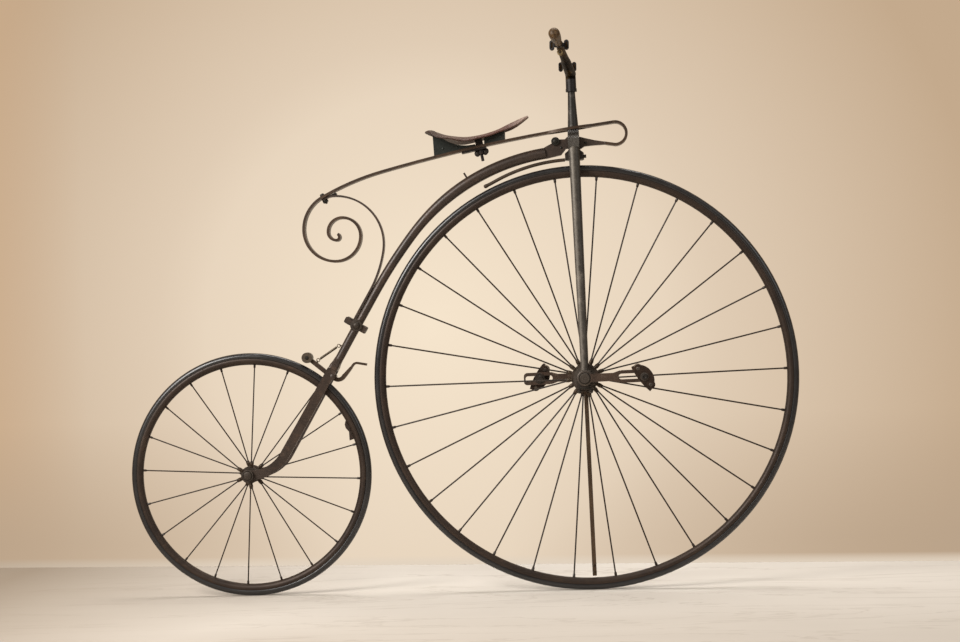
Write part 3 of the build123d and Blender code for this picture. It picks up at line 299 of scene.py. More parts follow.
soft_lamp("lamp_left", (-3.0, -3.3, 1.7), (0, 0, -0.6), 1.8, 2.2, 240, (1.0, 0.97, 0.93))
soft_lamp("lamp_right", (3.6, -3.0, 1.4), (0.1, 0, -0.6), 1.4, 2.0, 24, (0.94, 0.97, 1.0))
soft_lamp("lamp_top", (0.2, 0.6, 3.2), (0.1, 0, -0.5), 2.6, 1.6, 110, (1.0, 0.98, 0.96))

ROOM_LIGHT = 0.36
world = bpy.data.worlds.new("room")
world.use_nodes = True
background = world.node_tree.nodes["Background"].inputs
background["Color"].default_value = tint(238, 228, 214)
background["Strength"].default_value = ROOM_LIGHT
bpy.context.scene.world = world


# -------------------- backbone, rear fork and spring stay
# One forged iron tube, bent over the wheel, with a flat-sided fork welded on and a lug riveted to its head.
# Its thin brown-black paint has gone to a dry, pitted skin, rubbed grey where hands and legs have passed.
def forged_skin():
    """Old forged iron: broad shade, rust blooms, rubbed places and a pitted height, over the piece."""
    group = bpy.data.node_groups.new("forged_skin", "ShaderNodeTree")
    for name in ("Rust", "Rubbed"):
        group.interface.new_socket(name, in_out="INPUT", socket_type="NodeSocketFloat").default_value = 0.5
    given = group.nodes.new("NodeGroupInput").outputs
    place = spot(group)
    broad = noise(group, place, 14.0, 5.0, 0.62)
    patchy = noise(group, place, 70.0, 7.0, 0.68, 0.4)
    rub = noise(group, place, 32.0, 6.0, 0.6)
    grit = noise(group, place, 900.0, 3.0, 0.65)
    scale = noise(group, place, 260.0, 5.0, 0.7)
    pits = cells(group, place, 420.0)
    shade = spread(group, plus(group, times(group, broad, 0.7), times(group, scale, 0.3)), 0.34, 0.68)
    rust_edge = less(group, 0.74, times(group, given["Rust"], 0.36))
    rusted = spread(group, less(group, patchy, rust_edge), -0.04, 0.09)
    rub_edge = less(group, 0.78, times(group, given["Rubbed"], 0.34))
    rub = plus(group, times(group, rub, 0.75), times(group, grit, 0.25))
    rubbed = spread(group, less(group, rub, rub_edge), -0.03, 0.08)
    rubbed = times(group, rubbed, less(group, 1.0, times(group, rusted, 0.7)))
    holes = spread(group, pits, 0.0, 0.3, -1.0, 0.0)
    height = plus(group, times(group, scale, 0.6), times(group, grit, 0.25))
    height = plus(group, height, times(group, holes, times(group, rusted, 0.35)))
    rough = plus(group, spread(group, scale, 0.3, 0.7, 0.38, 0.56), times(group, rusted, 0.22))
    rough = less(group, rough, times(group, rubbed, 0.12))
    given_out = {"Shade": shade, "Rust": rusted, "Rubbed": rubbed, "Roughness": rough, "Height": height}
    for name in given_out:
        group.interface.new_socket(name, in_out="OUTPUT", socket_type="NodeSocketFloat")
    out = group.nodes.new("NodeGroupOutput").inputs
    for name, value in given_out.items():
        group.links.new(value, out[name])
    return group


SKIN = forged_skin()
RUST_DARK = tint(62, 43, 32)
RUST_LIGHT = tint(88, 66, 50)


def iron_skin(tree, rust, rub):
    """The forged skin's outputs in a material, for how much of it is rusted and how much is rubbed."""
    skin = add(tree, "Group", node_tree=SKIN)
    skin.inputs["Rust"].default_value = rust
    skin.inputs["Rubbed"].default_value = rub
    return skin.outputs


def forged_iron(name, deep, plain, rubbed, rust=0.5, rub=0.5, metal=0.5, wax=0.0):
    """Iron with rust blooms, in three tones: deep in its hollows, plain over most of it, and rubbed."""
    material, tree, shader = finish(name, Metallic=metal, Specular_IOR_Level=0.45, Coat_Weight=wax,
                                    Coat_Roughness=0.3)
    skin = iron_skin(tree, rust, rub)
    colour = blend_colour(tree, skin["Shade"], tint(*deep), tint(*plain))
    stain = blend_colour(tree, skin["Shade"], RUST_DARK, RUST_LIGHT)
    colour = blend_colour(tree, times(tree, skin["Rust"], 0.7), colour, stain)
    colour = blend_colour(tree, skin["Rubbed"], colour, tint(*rubbed))
    skin_over(tree, colour, skin["Roughness"], skin["Height"], 0.5, 0.0004)
    return material


def dress(material, *names):
    """Gives CAD nodes this finish."""
    for name in names:
        for place in frame["nodes"][name].material_slots:
            place.material = material


MM = 0.001      # places are in metres; the sizes and profiles of small pieces are in millimetres


def ray(angle):
    """The unit direction in the side view at an angle, in degrees: 0 is forward and 90 is up."""
    return Vector((cos(radians(angle)), 0, sin(radians(angle))))


def beside(centre, y):
    """The place level with a centre, y out from the bicycle's middle plane."""
    return Vector((centre.x, y, centre.z))


def turned(bm, at, along, profile, steps=20):
    """Adds a turned solid about the line from at: the profile's pairs are distance along it and radius."""
    way = Vector(along).normalized()
    side = way.orthogonal().normalized()
    points = [bm.verts.new(Vector(at) + way * (far * MM) + side * (out * MM)) for far, out in profile]
    edges = [bm.edges.new(pair) for pair in zip(points, points[1:])]
    bmesh.ops.spin(bm, geom=points + edges, cent=at, axis=way, angle=2 * pi, steps=steps, use_merge=True)


def boss(bm, centre, y, profile, steps=20):
    """Adds a turned solid that stands out sideways, level with a centre and y out from the middle plane."""
    turned(bm, beside(centre, y), (0, y, 0), profile, steps)


def soften(bm, made, offset, segments):
    """Bevels every edge of a solid that was just made."""
    edges = list({e for v in made["verts"] for e in v.link_edges})
    bmesh.ops.bevel(bm, geom=edges, offset=offset * MM, segments=segments, profile=0.5, affect="EDGES",
                    material=-1)


def turned_to(way, axis):
    """A matrix that turns one of its own axes to point the given way."""
    return way.to_track_quat(axis, "X").to_matrix().to_4x4()


def nut(bm, at, along, wide, high, turn=0.0):
    """Adds a hexagon nut, wide across its corners, with its lower face at at."""
    way = Vector(along).normalized()
    place = Matrix.Translation(Vector(at) + way * (high * MM / 2)) @ turned_to(way, "Z")
    made = bmesh.ops.create_cone(bm, cap_ends=True, segments=6, radius1=wide * MM / 2, radius2=wide * MM / 2,
                                 depth=high * MM, matrix=place @ Matrix.Rotation(radians(turn), 4, "Z"))
    soften(bm, made, wide * 0.05, 1)


def block(bm, at, lean, size, edge, segments=2):
    """Adds a block with its middle at at, leaning forward by some degrees, with its edges rounded off."""
    place = Matrix.Translation(at) @ Matrix.Rotation(radians(lean), 4, "Y")
    place = place @ Matrix.Diagonal([side * MM for side in size] + [1])
    made = bmesh.ops.create_cube(bm, size=1.0, matrix=place)
    soften(bm, made, edge, segments)


SHARP_ABOVE = radians(35)   # corners steeper than this keep their edge


def keep(name, bm, material, body):
    """Finishes a mesh: closes its seams, turns its faces outwards, and sets its finish and body."""
    bmesh.ops.remove_doubles(bm, verts=bm.verts, dist=1e-6)
    bmesh.ops.recalc_face_normals(bm, faces=bm.faces)
    made = place_mesh(name, bm)
    made.data.set_sharp_from_angle(angle=SHARP_ABOVE)
    made.data.materials.append(material)
    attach(made, body)
    return made


REAR = middle("rear_hub")
frame_iron = forged_iron("frame_iron", (43, 33, 26), (70, 55, 46), (107, 90, 78), rust=0.45, rub=0.45,
                         metal=0.4, wax=0.35)
cap_iron = forged_iron("cap_iron", (46, 40, 35), (71, 62, 54), (104, 94, 83), rust=0.2, rub=0.5)
dark_iron = forged_iron("dark_iron", (38, 34, 31), (62, 55, 49), (100, 92, 84), rust=0.4, rub=0.4)
knob_iron = forged_iron("knob_iron", (24, 22, 19), (44, 41, 34), (86, 80, 68), rust=0.2, rub=0.35)
dress(frame_iron, "backbone", "neck_lug", "spring_stay", "stay_collar", "fork_blade_right", "fork_blade_left")
dress(cap_iron, "rear_axle")

# the neck lug's stepped knob and its rivets, on both faces; places are forward and up from the front axle
NECK_KNOB = Vector((-0.061, 0, 0.623))
KNOB_FACE = 0.0108
NECK_RIVETS = ((-0.046, 0.606), (-0.022, 0.612), (0.018, 0.617))
NECK_FACE = 0.0079
bm = bmesh.new()
for side in (-1, 1):
    boss(bm, AXLE + NECK_KNOB, side * KNOB_FACE,
         ((0, 0), (0, 11.2), (1.6, 11.2), (2.6, 10.2), (2.8, 6.2), (4.4, 5.6), (5.2, 4), (5.4, 0)))
    for x, z in NECK_RIVETS:
        boss(bm, AXLE + Vector((x, 0, z)), side * NECK_FACE,
             ((0, 0), (0, 3.6), (0.8, 3.4), (1.7, 2.2), (2, 0)), 14)
keep("neck_rivets", bm, knob_iron, "frame")

# the weld that joins the spring's front loop to the tip of the neck lug
bm = bmesh.new()
block(bm, AXLE + Vector((0.0714, 0, 0.6143)), 9, (8, 19, 7.8), 1.8, 3)
keep("loop_weld", bm, frame_iron, "frame")

# the bolt through the stay's collar, the collar's two ears and the nut behind
COLLAR_BOLT = beside(middle("stay_collar"), 0) + Vector((0.003, 0, -0.002))
COLLAR_EARS = ((-0.0205, 0.0125), (0.0165, -0.0103))
bm = bmesh.new()
boss(bm, COLLAR_BOLT, -0.0196,
     ((-4, 0), (-4, 16), (0.4, 16.4), (2, 15.2), (2.4, 10), (5, 9.2), (7.4, 6.6), (8.6, 3), (8.8, 0)), 28)
for x, z in COLLAR_EARS:
    block(bm, COLLAR_BOLT + Vector((x, 0, z)), 31, (18, 25, 19), 2.4)
nut(bm, COLLAR_BOLT + Vector((0, 0.0155, 0)), (0, 1, 0), 17, 7, 12)
keep("collar_bolt", bm, cap_iron, "frame")

# the rear axle's ends: a round cap, with a sunk ring about its flat middle
REAR_AXLE_END = 0.0534
bm = bmesh.new()
for side in (-1, 1):
    boss(bm, REAR, side * REAR_AXLE_END,
         ((-4, 0), (-4, 15), (0, 15), (0.6, 14.2), (0.6, 12.6), (-1.4, 12), (-1.4, 11.2), (1.4, 10.6), (2, 9),
          (2.2, 0)), 36)
keep("rear_axle_ends", bm, cap_iron, "frame")


# -------------------- front fork, crown, column and guard rod
# Two flattened iron legs hang from a forged arch, and a tapered column rises through the leaf spring's eye.
# Its paint is greyer and greener than the frame's; a pale band down each leg's rear half is a painted
# highlight, and the darker front is painted shade.
def tone_over(material, factor, tone):
    """Lays another tone over an iron's colour, as strong as the factor."""
    colour = material.node_tree.nodes["Principled BSDF"].inputs["Base Color"]
    toned = blend_colour(material.node_tree, factor, colour.links[0].from_socket, tint(*tone))
    material.node_tree.links.new(toned, colour)


LEG_LEAN = 0.021        # how far back a leg leans for each unit of its height
fork_iron = forged_iron("fork_iron", (62, 58, 53), (98, 92, 85), (142, 134, 125), rust=0.25, rub=0.55)
tree = fork_iron.node_tree
parts = axes(tree)
forward = plus(tree, plus(tree, parts["X"], -AXLE.x), times(tree, plus(tree, parts["Z"], -AXLE.z), LEG_LEAN))
forward = plus(tree, forward, spread(tree, noise(tree, spot(tree), 60.0, 5.0), 0.3, 0.7, -0.003, 0.003))
# painted highlight: a pale band down each leg, a little behind its middle line
painted_highlight_band = sums(tree, "MINIMUM", spread(tree, forward, -0.0125, -0.0075), spread(tree, forward, 0.002, -0.003))
tone_over(fork_iron, times(tree, painted_highlight_band, 0.38), (138, 131, 121))
# painted shade: each leg darkens towards its front edge
tone_over(fork_iron, spread(tree, forward, 0.001, 0.009, 0.0, 0.5), (48, 44, 39))
crown_iron = forged_iron("crown_iron", (50, 46, 41), (84, 78, 71), (108, 101, 93), rust=0.2, rub=0.2,
                         wax=0.25)
tree = crown_iron.node_tree
# painted shade: the crown darkens towards its top
tone_over(crown_iron, spread(tree, axes(tree)["Z"], AXLE.z + 0.628, AXLE.z + 0.655, 0.0, 0.8), (40, 36, 33))
column_iron = forged_iron("column_iron", (36, 34, 31), (60, 56, 51), (104, 98, 91), rust=0.15, rub=0.55)
guard_iron = forged_iron("guard_iron", (54, 44, 35), (86, 71, 57), (126, 110, 92))
dress(fork_iron, "leg_right", "leg_left")
dress(column_iron, "steering_column")
dress(crown_iron, "fork_crown")
dress(cap_iron, "bearing_cap_right", "bearing_cap_left")
dress(dark_iron, "lower_yoke")
dress(guard_iron, "guard_rod")

# a flattened bead round each leg, where it is brazed into the crown
UPWARD = Vector((-0.020942, 0, 0.999781))       # the steering axis
SEAM_UP = 0.604
LEG_Y = 0.0355
LEG_FLATNESS = 0.69
bm = bmesh.new()
for side in (-1, 1):
    seam = AXLE + UPWARD * SEAM_UP + Vector((0, side * LEG_Y, 0))
    before = set(bm.verts)
    turned(bm, seam, UPWARD, ((-1.4, 12.8), (-1.4, 14.1), (-0.6, 14.7), (0.6, 14.7), (1.4, 14.1), (1.4, 12.8),
                              (-1.4, 12.8)), 36)
    bmesh.ops.scale(bm, verts=[v for v in bm.verts if v not in before], vec=(1, LEG_FLATNESS, 1),
                    space=Matrix.Translation(-seam))
keep("seam_beads", bm, fork_iron, "fork")

# the guard rod's rounded tip, and the bell-shaped boss that carries the neck above the yoke
GUARD_TIP = AXLE + Vector((-0.2503, 0, 0.5108))
GUARD_WAY = ray(203.7)
YOKE_TOP = AXLE + UPWARD * 0.5912
bm = bmesh.new()
turned(bm, GUARD_TIP, GUARD_WAY,
       ((-8.5, 0), (-8.5, 4.6), (-5, 5.1), (-1.5, 5.3), (1.2, 4.8), (3, 3.2), (3.8, 0)))
keep("guard_tip", bm, guard_iron, "fork")
bm = bmesh.new()
turned(bm, YOKE_TOP, UPWARD,
       ((0, 0), (0, 23.6), (1.4, 24), (3.4, 21.4), (6.2, 17.6), (8.4, 16), (8.4, 0)), 36)
keep("yoke_boss", bm, dark_iron, "fork")

# bearings: a split strap under each, held by two studs
BEARING_Y = 0.054
BEARING_FACE = 0.0624
STUD_X = 0.015
STRAP_FOOT = -0.0302
NUT_FOOT = -0.036
SPLITS = (-0.0262, -0.0196)
bm = bmesh.new()
for side in (-1, 1):
    for x in (-STUD_X, STUD_X):
        nut(bm, AXLE + Vector((x, side * BEARING_Y, STRAP_FOOT)), (0, 0, -1), 13.5, 6, 20)
        turned(bm, AXLE + Vector((x, side * BEARING_Y, NUT_FOOT)), (0, 0, -1),
               ((0, 0), (0, 3.6), (4, 3.4), (4.6, 0)), 12)
keep("bearing_studs", bm, dark_iron, "fork")
bm = bmesh.new()
for side in (-1, 1):
    for z in SPLITS:
        block(bm, AXLE + Vector((0, side * BEARING_FACE, z)), 0, (30, 2.4, 3.4), 0.6)
keep("bearing_splits", bm, knob_iron, "fork")

# -------------------- handlebar, grips and wing bolts
# A tapered bar in a plain socket, brazed from two halves. Old brass-toned paint shows near the grips,
# and the far half is almost black. The grips are turned horn, held by a screw through each end.
bar_metal, tree, shader = finish("bar_metal", Specular_IOR_Level=0.05)
skin = iron_skin(tree, 0.3, 0.6)
out = sums(tree, "ABSOLUTE", axes(tree)["Y"])
patchy = spread(tree, noise(tree, spot(tree), 40.0, 5.0), 0.3, 0.7, -0.4, 0.4)
wear = plus(tree, spread(tree, out, 0.06, 0.24), patchy)
dull = blend_colour(tree, skin["Shade"], tint(10, 6, 3), tint(23, 16, 8))
brassy = blend_colour(tree, skin["Shade"], tint(31, 19, 7), tint(60, 42, 18))
colour = blend_colour(tree, spread(tree, wear, 0.1, 0.9), dull, brassy)
colour = blend_colour(tree, times(tree, skin["Rubbed"], 0.5), colour, tint(98, 76, 44))
skin_over(tree, colour, skin["Roughness"], skin["Height"], 0.4, 0.0003)
dress(bar_metal, "handlebar")
socket_iron = forged_iron("socket_iron", (25, 22, 22), (44, 40, 39), (98, 92, 90), rust=0.2, rub=0.45)
dress(socket_iron, "bar_socket", "wing_bolt_right", "wing_bolt_left")

horn, tree, shader = finish("grip_horn", Specular_IOR_Level=0.25, Coat_Weight=0.05, Coat_Roughness=0.35)
grain = drawn_out(tree, spot(tree), 1.0, 0.22, 1.0)
cloud = noise(tree, grain, 120.0, 6.0, 0.65, 0.8)
fleck = noise(tree, grain, 420.0, 4.0, 0.6)
colour = blend_colour(tree, spread(tree, cloud, 0.32, 0.66), tint(42, 26, 12), tint(96, 72, 43))
colour = blend_colour(tree, spread(tree, fleck, 0.55, 0.75, 0.0, 0.6), colour, tint(140, 120, 96))
skin_over(tree, colour, spread(tree, cloud, 0.3, 0.7, 0.34, 0.52), fleck, 0.4, 0.0003)
dress(horn, "grip_right", "grip_left")

BAR_FOOT = AXLE + UPWARD * 0.80005
BAR_TOP_RISE = radians(14.5)
BAR_CURVE = 3.313
BAR_SWEEP = 94.66       # each half's way out, in degrees from straight ahead
BAR_TWIST = -1.5        # how far the whole bar is turned in its socket
RING_AT = (0.199, 0.207)    # places along the bar, from its middle
WING_AT = 0.216
GRIP_FROM = 0.228
GRIP_END = 0.0870       # from where the grip begins
SCREW_END = 0.0893


def on_bar(side, far):
    """A place on the bar's centreline, far out from its middle; the way along it and the level way across."""
    rise = BAR_TOP_RISE - far / BAR_CURVE
    out = BAR_CURVE * (sin(BAR_TOP_RISE) - sin(rise))
    up = BAR_CURVE * (cos(rise) - cos(BAR_TOP_RISE))
    flat = radians(side * BAR_SWEEP + BAR_TWIST)
    at = BAR_FOOT + Vector((out * cos(flat), out * sin(flat), up))
    way = Vector((cos(flat) * cos(rise), sin(flat) * cos(rise), sin(rise)))
    return at, way, way.cross(Vector((0, 0, 1))).normalized()


# a screw in a ring at the end of each grip, and at its root a ferrule, with the wing bolts' round hubs
screws, rings, ferrules = bmesh.new(), bmesh.new(), bmesh.new()
for side in (-1, 1):
    at, way, level = on_bar(side, GRIP_FROM)
    turned(screws, at + way * SCREW_END, way,
           ((-6, 0), (-6, 3.7), (0.2, 3.5), (0.6, 2.4), (-1, 1.6), (-1, 0)), 16)
    turned(rings, at + way * GRIP_END, way,
           ((0, 6.4), (0, 8.3), (1.2, 8.6), (1.8, 7.9), (2.2, 7), (2, 6.2), (0, 6.4)), 28)
    at, way, level = on_bar(side, GRIP_FROM + 0.0005)
    turned(ferrules, at - way * 0.004, way,
           ((0, 8.6), (0, 10.2), (1.2, 10.8), (4.2, 10.8), (5.2, 9.8), (5.2, 8.6)), 28)
    at, way, level = on_bar(side, WING_AT)
    for hand in (-1, 1):
        turned(ferrules, at + level * hand * 0.0086, level * hand,
               ((0, 0), (0, 5.8), (1.2, 6.2), (2.6, 5.6), (3.6, 4.4), (4.6, 0)), 16)
keep("grip_screws", screws, socket_iron, "fork")
keep("grip_end_rings", rings, socket_iron, "fork")
keep("grip_ferrules", ferrules, socket_iron, "fork")

# a thin worn web inside each wing of the wing bolts
WEB_HALF = (0.0031, 0.0090)
WEB_T = 0.0030
WEB_OUT = 0.0185        # a web's middle, from the bar's
bm = bmesh.new()
for side in (-1, 1):
    at, way, level = on_bar(side, WING_AT)
    tall = level.cross(way).normalized()
    for hand in (-1, 1):
        place = Matrix((level * WEB_HALF[0], tall * WEB_HALF[1], way)).transposed().to_4x4()
        place.translation = at + level * (hand * WEB_OUT)
        bmesh.ops.create_cone(bm, cap_ends=True, segments=20, radius1=1.0, radius2=1.0, depth=WEB_T,
                              matrix=place)
keep("wing_webs", bm, bar_metal, "fork")


def wire_ring(bm, centre, arm, way, wire):
    """Adds a ring of wire about the line along way: arm leads from its centre to the middle of the wire."""
    up = arm.normalized()
    face = way.cross(arm).normalized()
    place = Matrix((up, face.cross(up), face)).transposed().to_4x4()
    place.translation = centre + arm
    ring = bmesh.ops.create_circle(bm, segments=8, radius=wire, matrix=place)["verts"]
    bmesh.ops.spin(bm, geom=ring + list({e for v in ring for e in v.link_edges}), cent=centre, axis=way,
                   angle=2 * pi, steps=20, use_merge=True)


# small wire rings for the lost brake cord, hung under the bar inboard of the wing bolts
RING_ARM = Vector((0, 0, 0.0062))
RING_WIRE = 0.0011
RING_DROP = Vector((0, 0, -0.0145))
bm = bmesh.new()
for side in (-1, 1):
    for far in RING_AT:
        at, way, level = on_bar(side, far)
        wire_ring(bm, at + RING_DROP, RING_ARM, way, RING_WIRE)
ring_brass = forged_iron("ring_brass", (88, 72, 44), (142, 122, 84), (186, 168, 126), rust=0.2)
keep("cord_rings", bm, ring_brass, "fork")

# -------------------- leaf spring, scroll and its bolt
# One long blade of spring steel, looped at the front, forked round the column and rolled in a scroll behind.
# It has a thin brown oxide skin, a little brighter along the bends, and one bolt clips it to its stay.
spring_iron = forged_iron("spring_iron", (47, 34, 24), (80, 61, 45), (118, 98, 74), rust=0.45, rub=0.45,
                          wax=0.25)
dress(spring_iron, "saddle_spring")
TAIL = AXLE + Vector((-0.6822, 0, 0.4966))      # on the leaf's middle line, under the bolt's head
TAIL_UP = Vector((-0.4745, 0, 0.8803))
LEAF_TOP = 0.0036
STAY_FOOT = 0.0088
bm = bmesh.new()
turned(bm, TAIL + TAIL_UP * LEAF_TOP, TAIL_UP,
       ((0, 0), (0, 8.5), (1, 8.8), (1.6, 6.2), (4, 6), (6.2, 4.2), (6.8, 0)))
nut(bm, TAIL - TAIL_UP * STAY_FOOT, -TAIL_UP, 16, 7.5, 10)
turned(bm, TAIL - TAIL_UP * 0.0080, -TAIL_UP, ((0, 0), (0, 3.6), (11, 3.4), (11.8, 2), (12, 0)), 14)
keep("tail_bolt", bm, knob_iron, "frame")

# the wedge driven in between leaf and stay, with its rolled end
bm = bmesh.new()
block(bm, AXLE + Vector((-0.6600, 0, 0.4995)), -21, (26, 13, 4.6), 1)
turned(bm, AXLE + Vector((-0.6490, -0.007, 0.5034)), (0, 1, 0),
       ((0, 0), (0, 3), (0.8, 3.7), (13.2, 3.7), (14, 3), (14, 0)), 16)
keep("stay_wedge", bm, knob_iron, "frame")

# -------------------- saddle leather
# A single thick hide, wetted and blocked over its two iron risers: a broad skirted seat and a narrow nose.
# It is worn smooth and mauve-brown, redder along the waist, pale at the nose, and cracked in fine lines.
HIDE_T = 0.0046
# along the hide: place, height of its crest, half its width, and how far its sides drop
HIDE_ROWS = (
    (-0.117, 0.0116, 0.026, 0.002), (-0.104, 0.0156, 0.055, 0.008), (-0.086, 0.0110, 0.0685, 0.0160),
    (-0.054, 0.0002, 0.0715, 0.0120), (-0.010, -0.0042, 0.050, 0.0132), (0.0345, 0.0004, 0.0358, 0.0102),
    (0.079, 0.0134, 0.0268, 0.0092), (0.100, 0.0225, 0.0248, 0.0130), (0.124, 0.0339, 0.0218, 0.0140),
    (0.142, 0.0410, 0.0178, 0.0092), (0.158, 0.0462, 0.0085, 0.0022))


def hide_row(x):
    """Crest height, half width and drop of the sides at x, eased between the rows."""
    k = 0
    while k < len(HIDE_ROWS) - 2 and HIDE_ROWS[k + 1][0] < x:
        k += 1
    a, b = HIDE_ROWS[k], HIDE_ROWS[k + 1]
    before = HIDE_ROWS[max(k - 1, 0)]
    after = HIDE_ROWS[min(k + 2, len(HIDE_ROWS) - 1)]
    span = b[0] - a[0]
    t = (x - a[0]) / span
    found = []
    for m in (1, 2, 3):
        slope_a = (b[m] - before[m]) / (b[0] - before[0]) * span
        slope_b = (after[m] - a[m]) / (after[0] - a[0]) * span
        found.append((2 * t ** 3 - 3 * t ** 2 + 1) * a[m] + (t ** 3 - 2 * t ** 2 + t) * slope_a
                     + (3 * t ** 2 - 2 * t ** 3) * b[m] + (t ** 3 - t ** 2) * slope_b)
    return found


def hide_height(x, y):
    crest, half, drop = hide_row(x)
    return crest - drop * (abs(y) / half) ** 2


# shallow dents all over, sides that sag in waves, a turned-up lip and a rounded back
DENT_DEPTH = 0.0007
SAG_DEPTH = 0.0010
LIP_HEIGHT = 0.0010
LIP_FROM = 0.86
BACK_ROUND = 0.006
bm = bmesh.new()
bmesh.ops.create_grid(bm, x_segments=56, y_segments=22, size=1.0)
for v in bm.verts:
    along, over = (v.co.x + 1) / 2, v.co.y
    x = HIDE_ROWS[0][0] + (HIDE_ROWS[-1][0] - HIDE_ROWS[0][0]) * along
    crest, half, drop = hide_row(x)
    dent = DENT_DEPTH * sin(61 * x + 1.3) * sin(5 * over + 31 * x) * (1 - abs(over) ** 2)
    sag = SAG_DEPTH * sin(88 * x + 0.7 * over) * abs(over) ** 3
    lip = LIP_HEIGHT * max(0.0, abs(over) - LIP_FROM) / (1 - LIP_FROM)
    rounded = BACK_ROUND * over ** 2 * (1 - along) ** 6
    v.co = Vector((x + rounded, half * over, crest - drop * over ** 2 + dent + sag + lip))
bmesh.ops.recalc_face_normals(bm, faces=bm.faces)
if sum(f.normal.z for f in bm.faces) < 0:
    bmesh.ops.reverse_faces(bm, faces=bm.faces)
hide = place_mesh("saddle_hide", bm)
shell = hide.modifiers.new("thickness", "SOLIDIFY")
shell.thickness = HIDE_T
shell.offset = -1
round_off = hide.modifiers.new("rounding", "SUBSURF")
round_off.levels = round_off.render_levels = 1

leather, tree, shader = finish("saddle_leather", Specular_IOR_Level=0.3, Coat_Weight=0.05, Coat_Roughness=0.4)
place = spot(tree)
along = axes(tree)["X"]
broad = noise(tree, place, 26.0, 6.0, 0.62, 0.5)
crossways = drawn_out(tree, place, 1.0, 0.3, 1.0)
creases = noise(tree, crossways, 150.0, 5.0, 0.66, 1.4)
scuffs = noise(tree, drawn_out(tree, place, 0.35, 1.0, 1.0), 240.0, 5.0, 0.7)
grain = cells(tree, place, 950.0)
crack = cells(tree, crossways, 210.0, "DISTANCE_TO_EDGE")
cracked = times(tree, spread(tree, crack, 0.0, 0.05, 1.0, 0.0), spread(tree, broad, 0.45, 0.62))
colour = blend_colour(tree, spread(tree, broad, 0.32, 0.66), tint(52, 32, 26), tint(90, 66, 56))
waist = times(tree, spread(tree, along, -0.03, 0.06), spread(tree, along, 0.14, 0.08))
waist = times(tree, waist, spread(tree, creases, 0.3, 0.6, 0.25, 0.8))
colour = blend_colour(tree, waist, colour, tint(82, 42, 34))
colour = blend_colour(tree, times(tree, spread(tree, scuffs, 0.5, 0.72), 0.34), colour, tint(128, 106, 93))
# painted shade: the seat darkens towards its back
painted_heel_shade = spread(tree, along, -0.035, -0.090, 0.0, 0.85)
colour = blend_colour(tree, painted_heel_shade, colour, tint(44, 26, 19))
nose = times(tree, spread(tree, along, 0.105, 0.142), spread(tree, creases, 0.28, 0.5))
colour = blend_colour(tree, times(tree, nose, 0.8), colour, tint(146, 124, 111))
colour = blend_colour(tree, times(tree, cracked, 0.65), colour, tint(42, 28, 23))
relief = plus(tree, times(tree, grain, 0.35), times(tree, creases, 0.9))
relief = less(tree, relief, times(tree, cracked, 0.6))
skin_over(tree, colour, spread(tree, creases, 0.3, 0.7, 0.42, 0.6), relief, 0.6, 0.0007)
hide.data.materials.append(leather)
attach(hide, "frame")
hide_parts("saddle_leather")

# domed rivets that pin the back of the hide to its riser
RIVET_SINK = 0.0008
STEP = 0.002
bm = bmesh.new()
for x, y in ((-0.090, -0.022), (-0.090, 0.022), (-0.098, 0)):
    slope = (hide_height(x + STEP, y) - hide_height(x - STEP, y)) / (2 * STEP)
    turned(bm, (x, y, hide_height(x, y) - RIVET_SINK), (-slope, 0, 1),
           ((0, 0), (0, 4.6), (1.1, 4.6), (1.9, 3.6), (2.4, 1.8), (2.5, 0)), 16)
keep("hide_rivets", bm, dark_iron, "frame")

# -------------------- saddle risers and clamp
# Two plates bent from thin sheet carry the hide, under dark green-black paint that is chipped at the edges.
# A square block, an under-plate and a wing nut hold them to the leaf, so that the seat can slide along it.
riser_paint = forged_iron("riser_paint", (13, 18, 14), (25, 31, 25), (60, 62, 52), rust=0.25, rub=0.4,
                          metal=0.15)
dress(riser_paint, "saddle_riser_rear", "saddle_riser_front")
clamp_iron = forged_iron("clamp_iron", (22, 18, 16), (42, 34, 30), (84, 74, 66), rust=0.3, rub=0.4)
dress(clamp_iron, "saddle_clamp")

# the cast wing nut under the leaf, with fat round wings and a domed hub
LEAF_LINE = Vector((0.9726, 0, 0.2325))
LEAF_DOWN = Vector((0.2325, 0, -0.9726))
WING_NUT = Vector((0.0330, 0, -0.0462))
WING_OUT = 0.0112
WING_HALF = (0.0082, 0.0040, 0.0086)
bm = bmesh.new()
for hand in (-1, 1):
    place = Matrix.Translation(WING_NUT + LEAF_LINE * (hand * WING_OUT)) @ Matrix.Diagonal(WING_HALF + (1,))
    bmesh.ops.create_uvsphere(bm, u_segments=20, v_segments=12, radius=1.0, matrix=place)
turned(bm, WING_NUT - LEAF_DOWN * 0.0065, LEAF_DOWN,
       ((0, 0), (0, 6.6), (6, 6), (11, 5), (12.2, 3.6), (12.2, 0)))
keep("clamp_wing_nut", bm, dark_iron, "frame")

# small rivets through each riser's flanges: how far out, their places forward and up, and their domes
REAR_RIVETS = (0.0139, ((-0.068, -0.0345), (-0.030, -0.0320), (0.004, -0.0300)),
               ((0, 0), (0, 3.2), (0.8, 3), (1.5, 1.8), (1.7, 0)))
FRONT_RIVETS = (0.0119, ((0.056, -0.0150), (0.086, -0.0070)),
                ((0, 0), (0, 3), (0.8, 2.8), (1.4, 1.6), (1.6, 0)))
bm = bmesh.new()
for side in (-1, 1):
    for face, places, dome in (REAR_RIVETS, FRONT_RIVETS):
        for x, z in places:
            boss(bm, Vector((x, 0, z)), side * face, dome, 12)
keep("riser_rivets", bm, riser_paint, "frame")

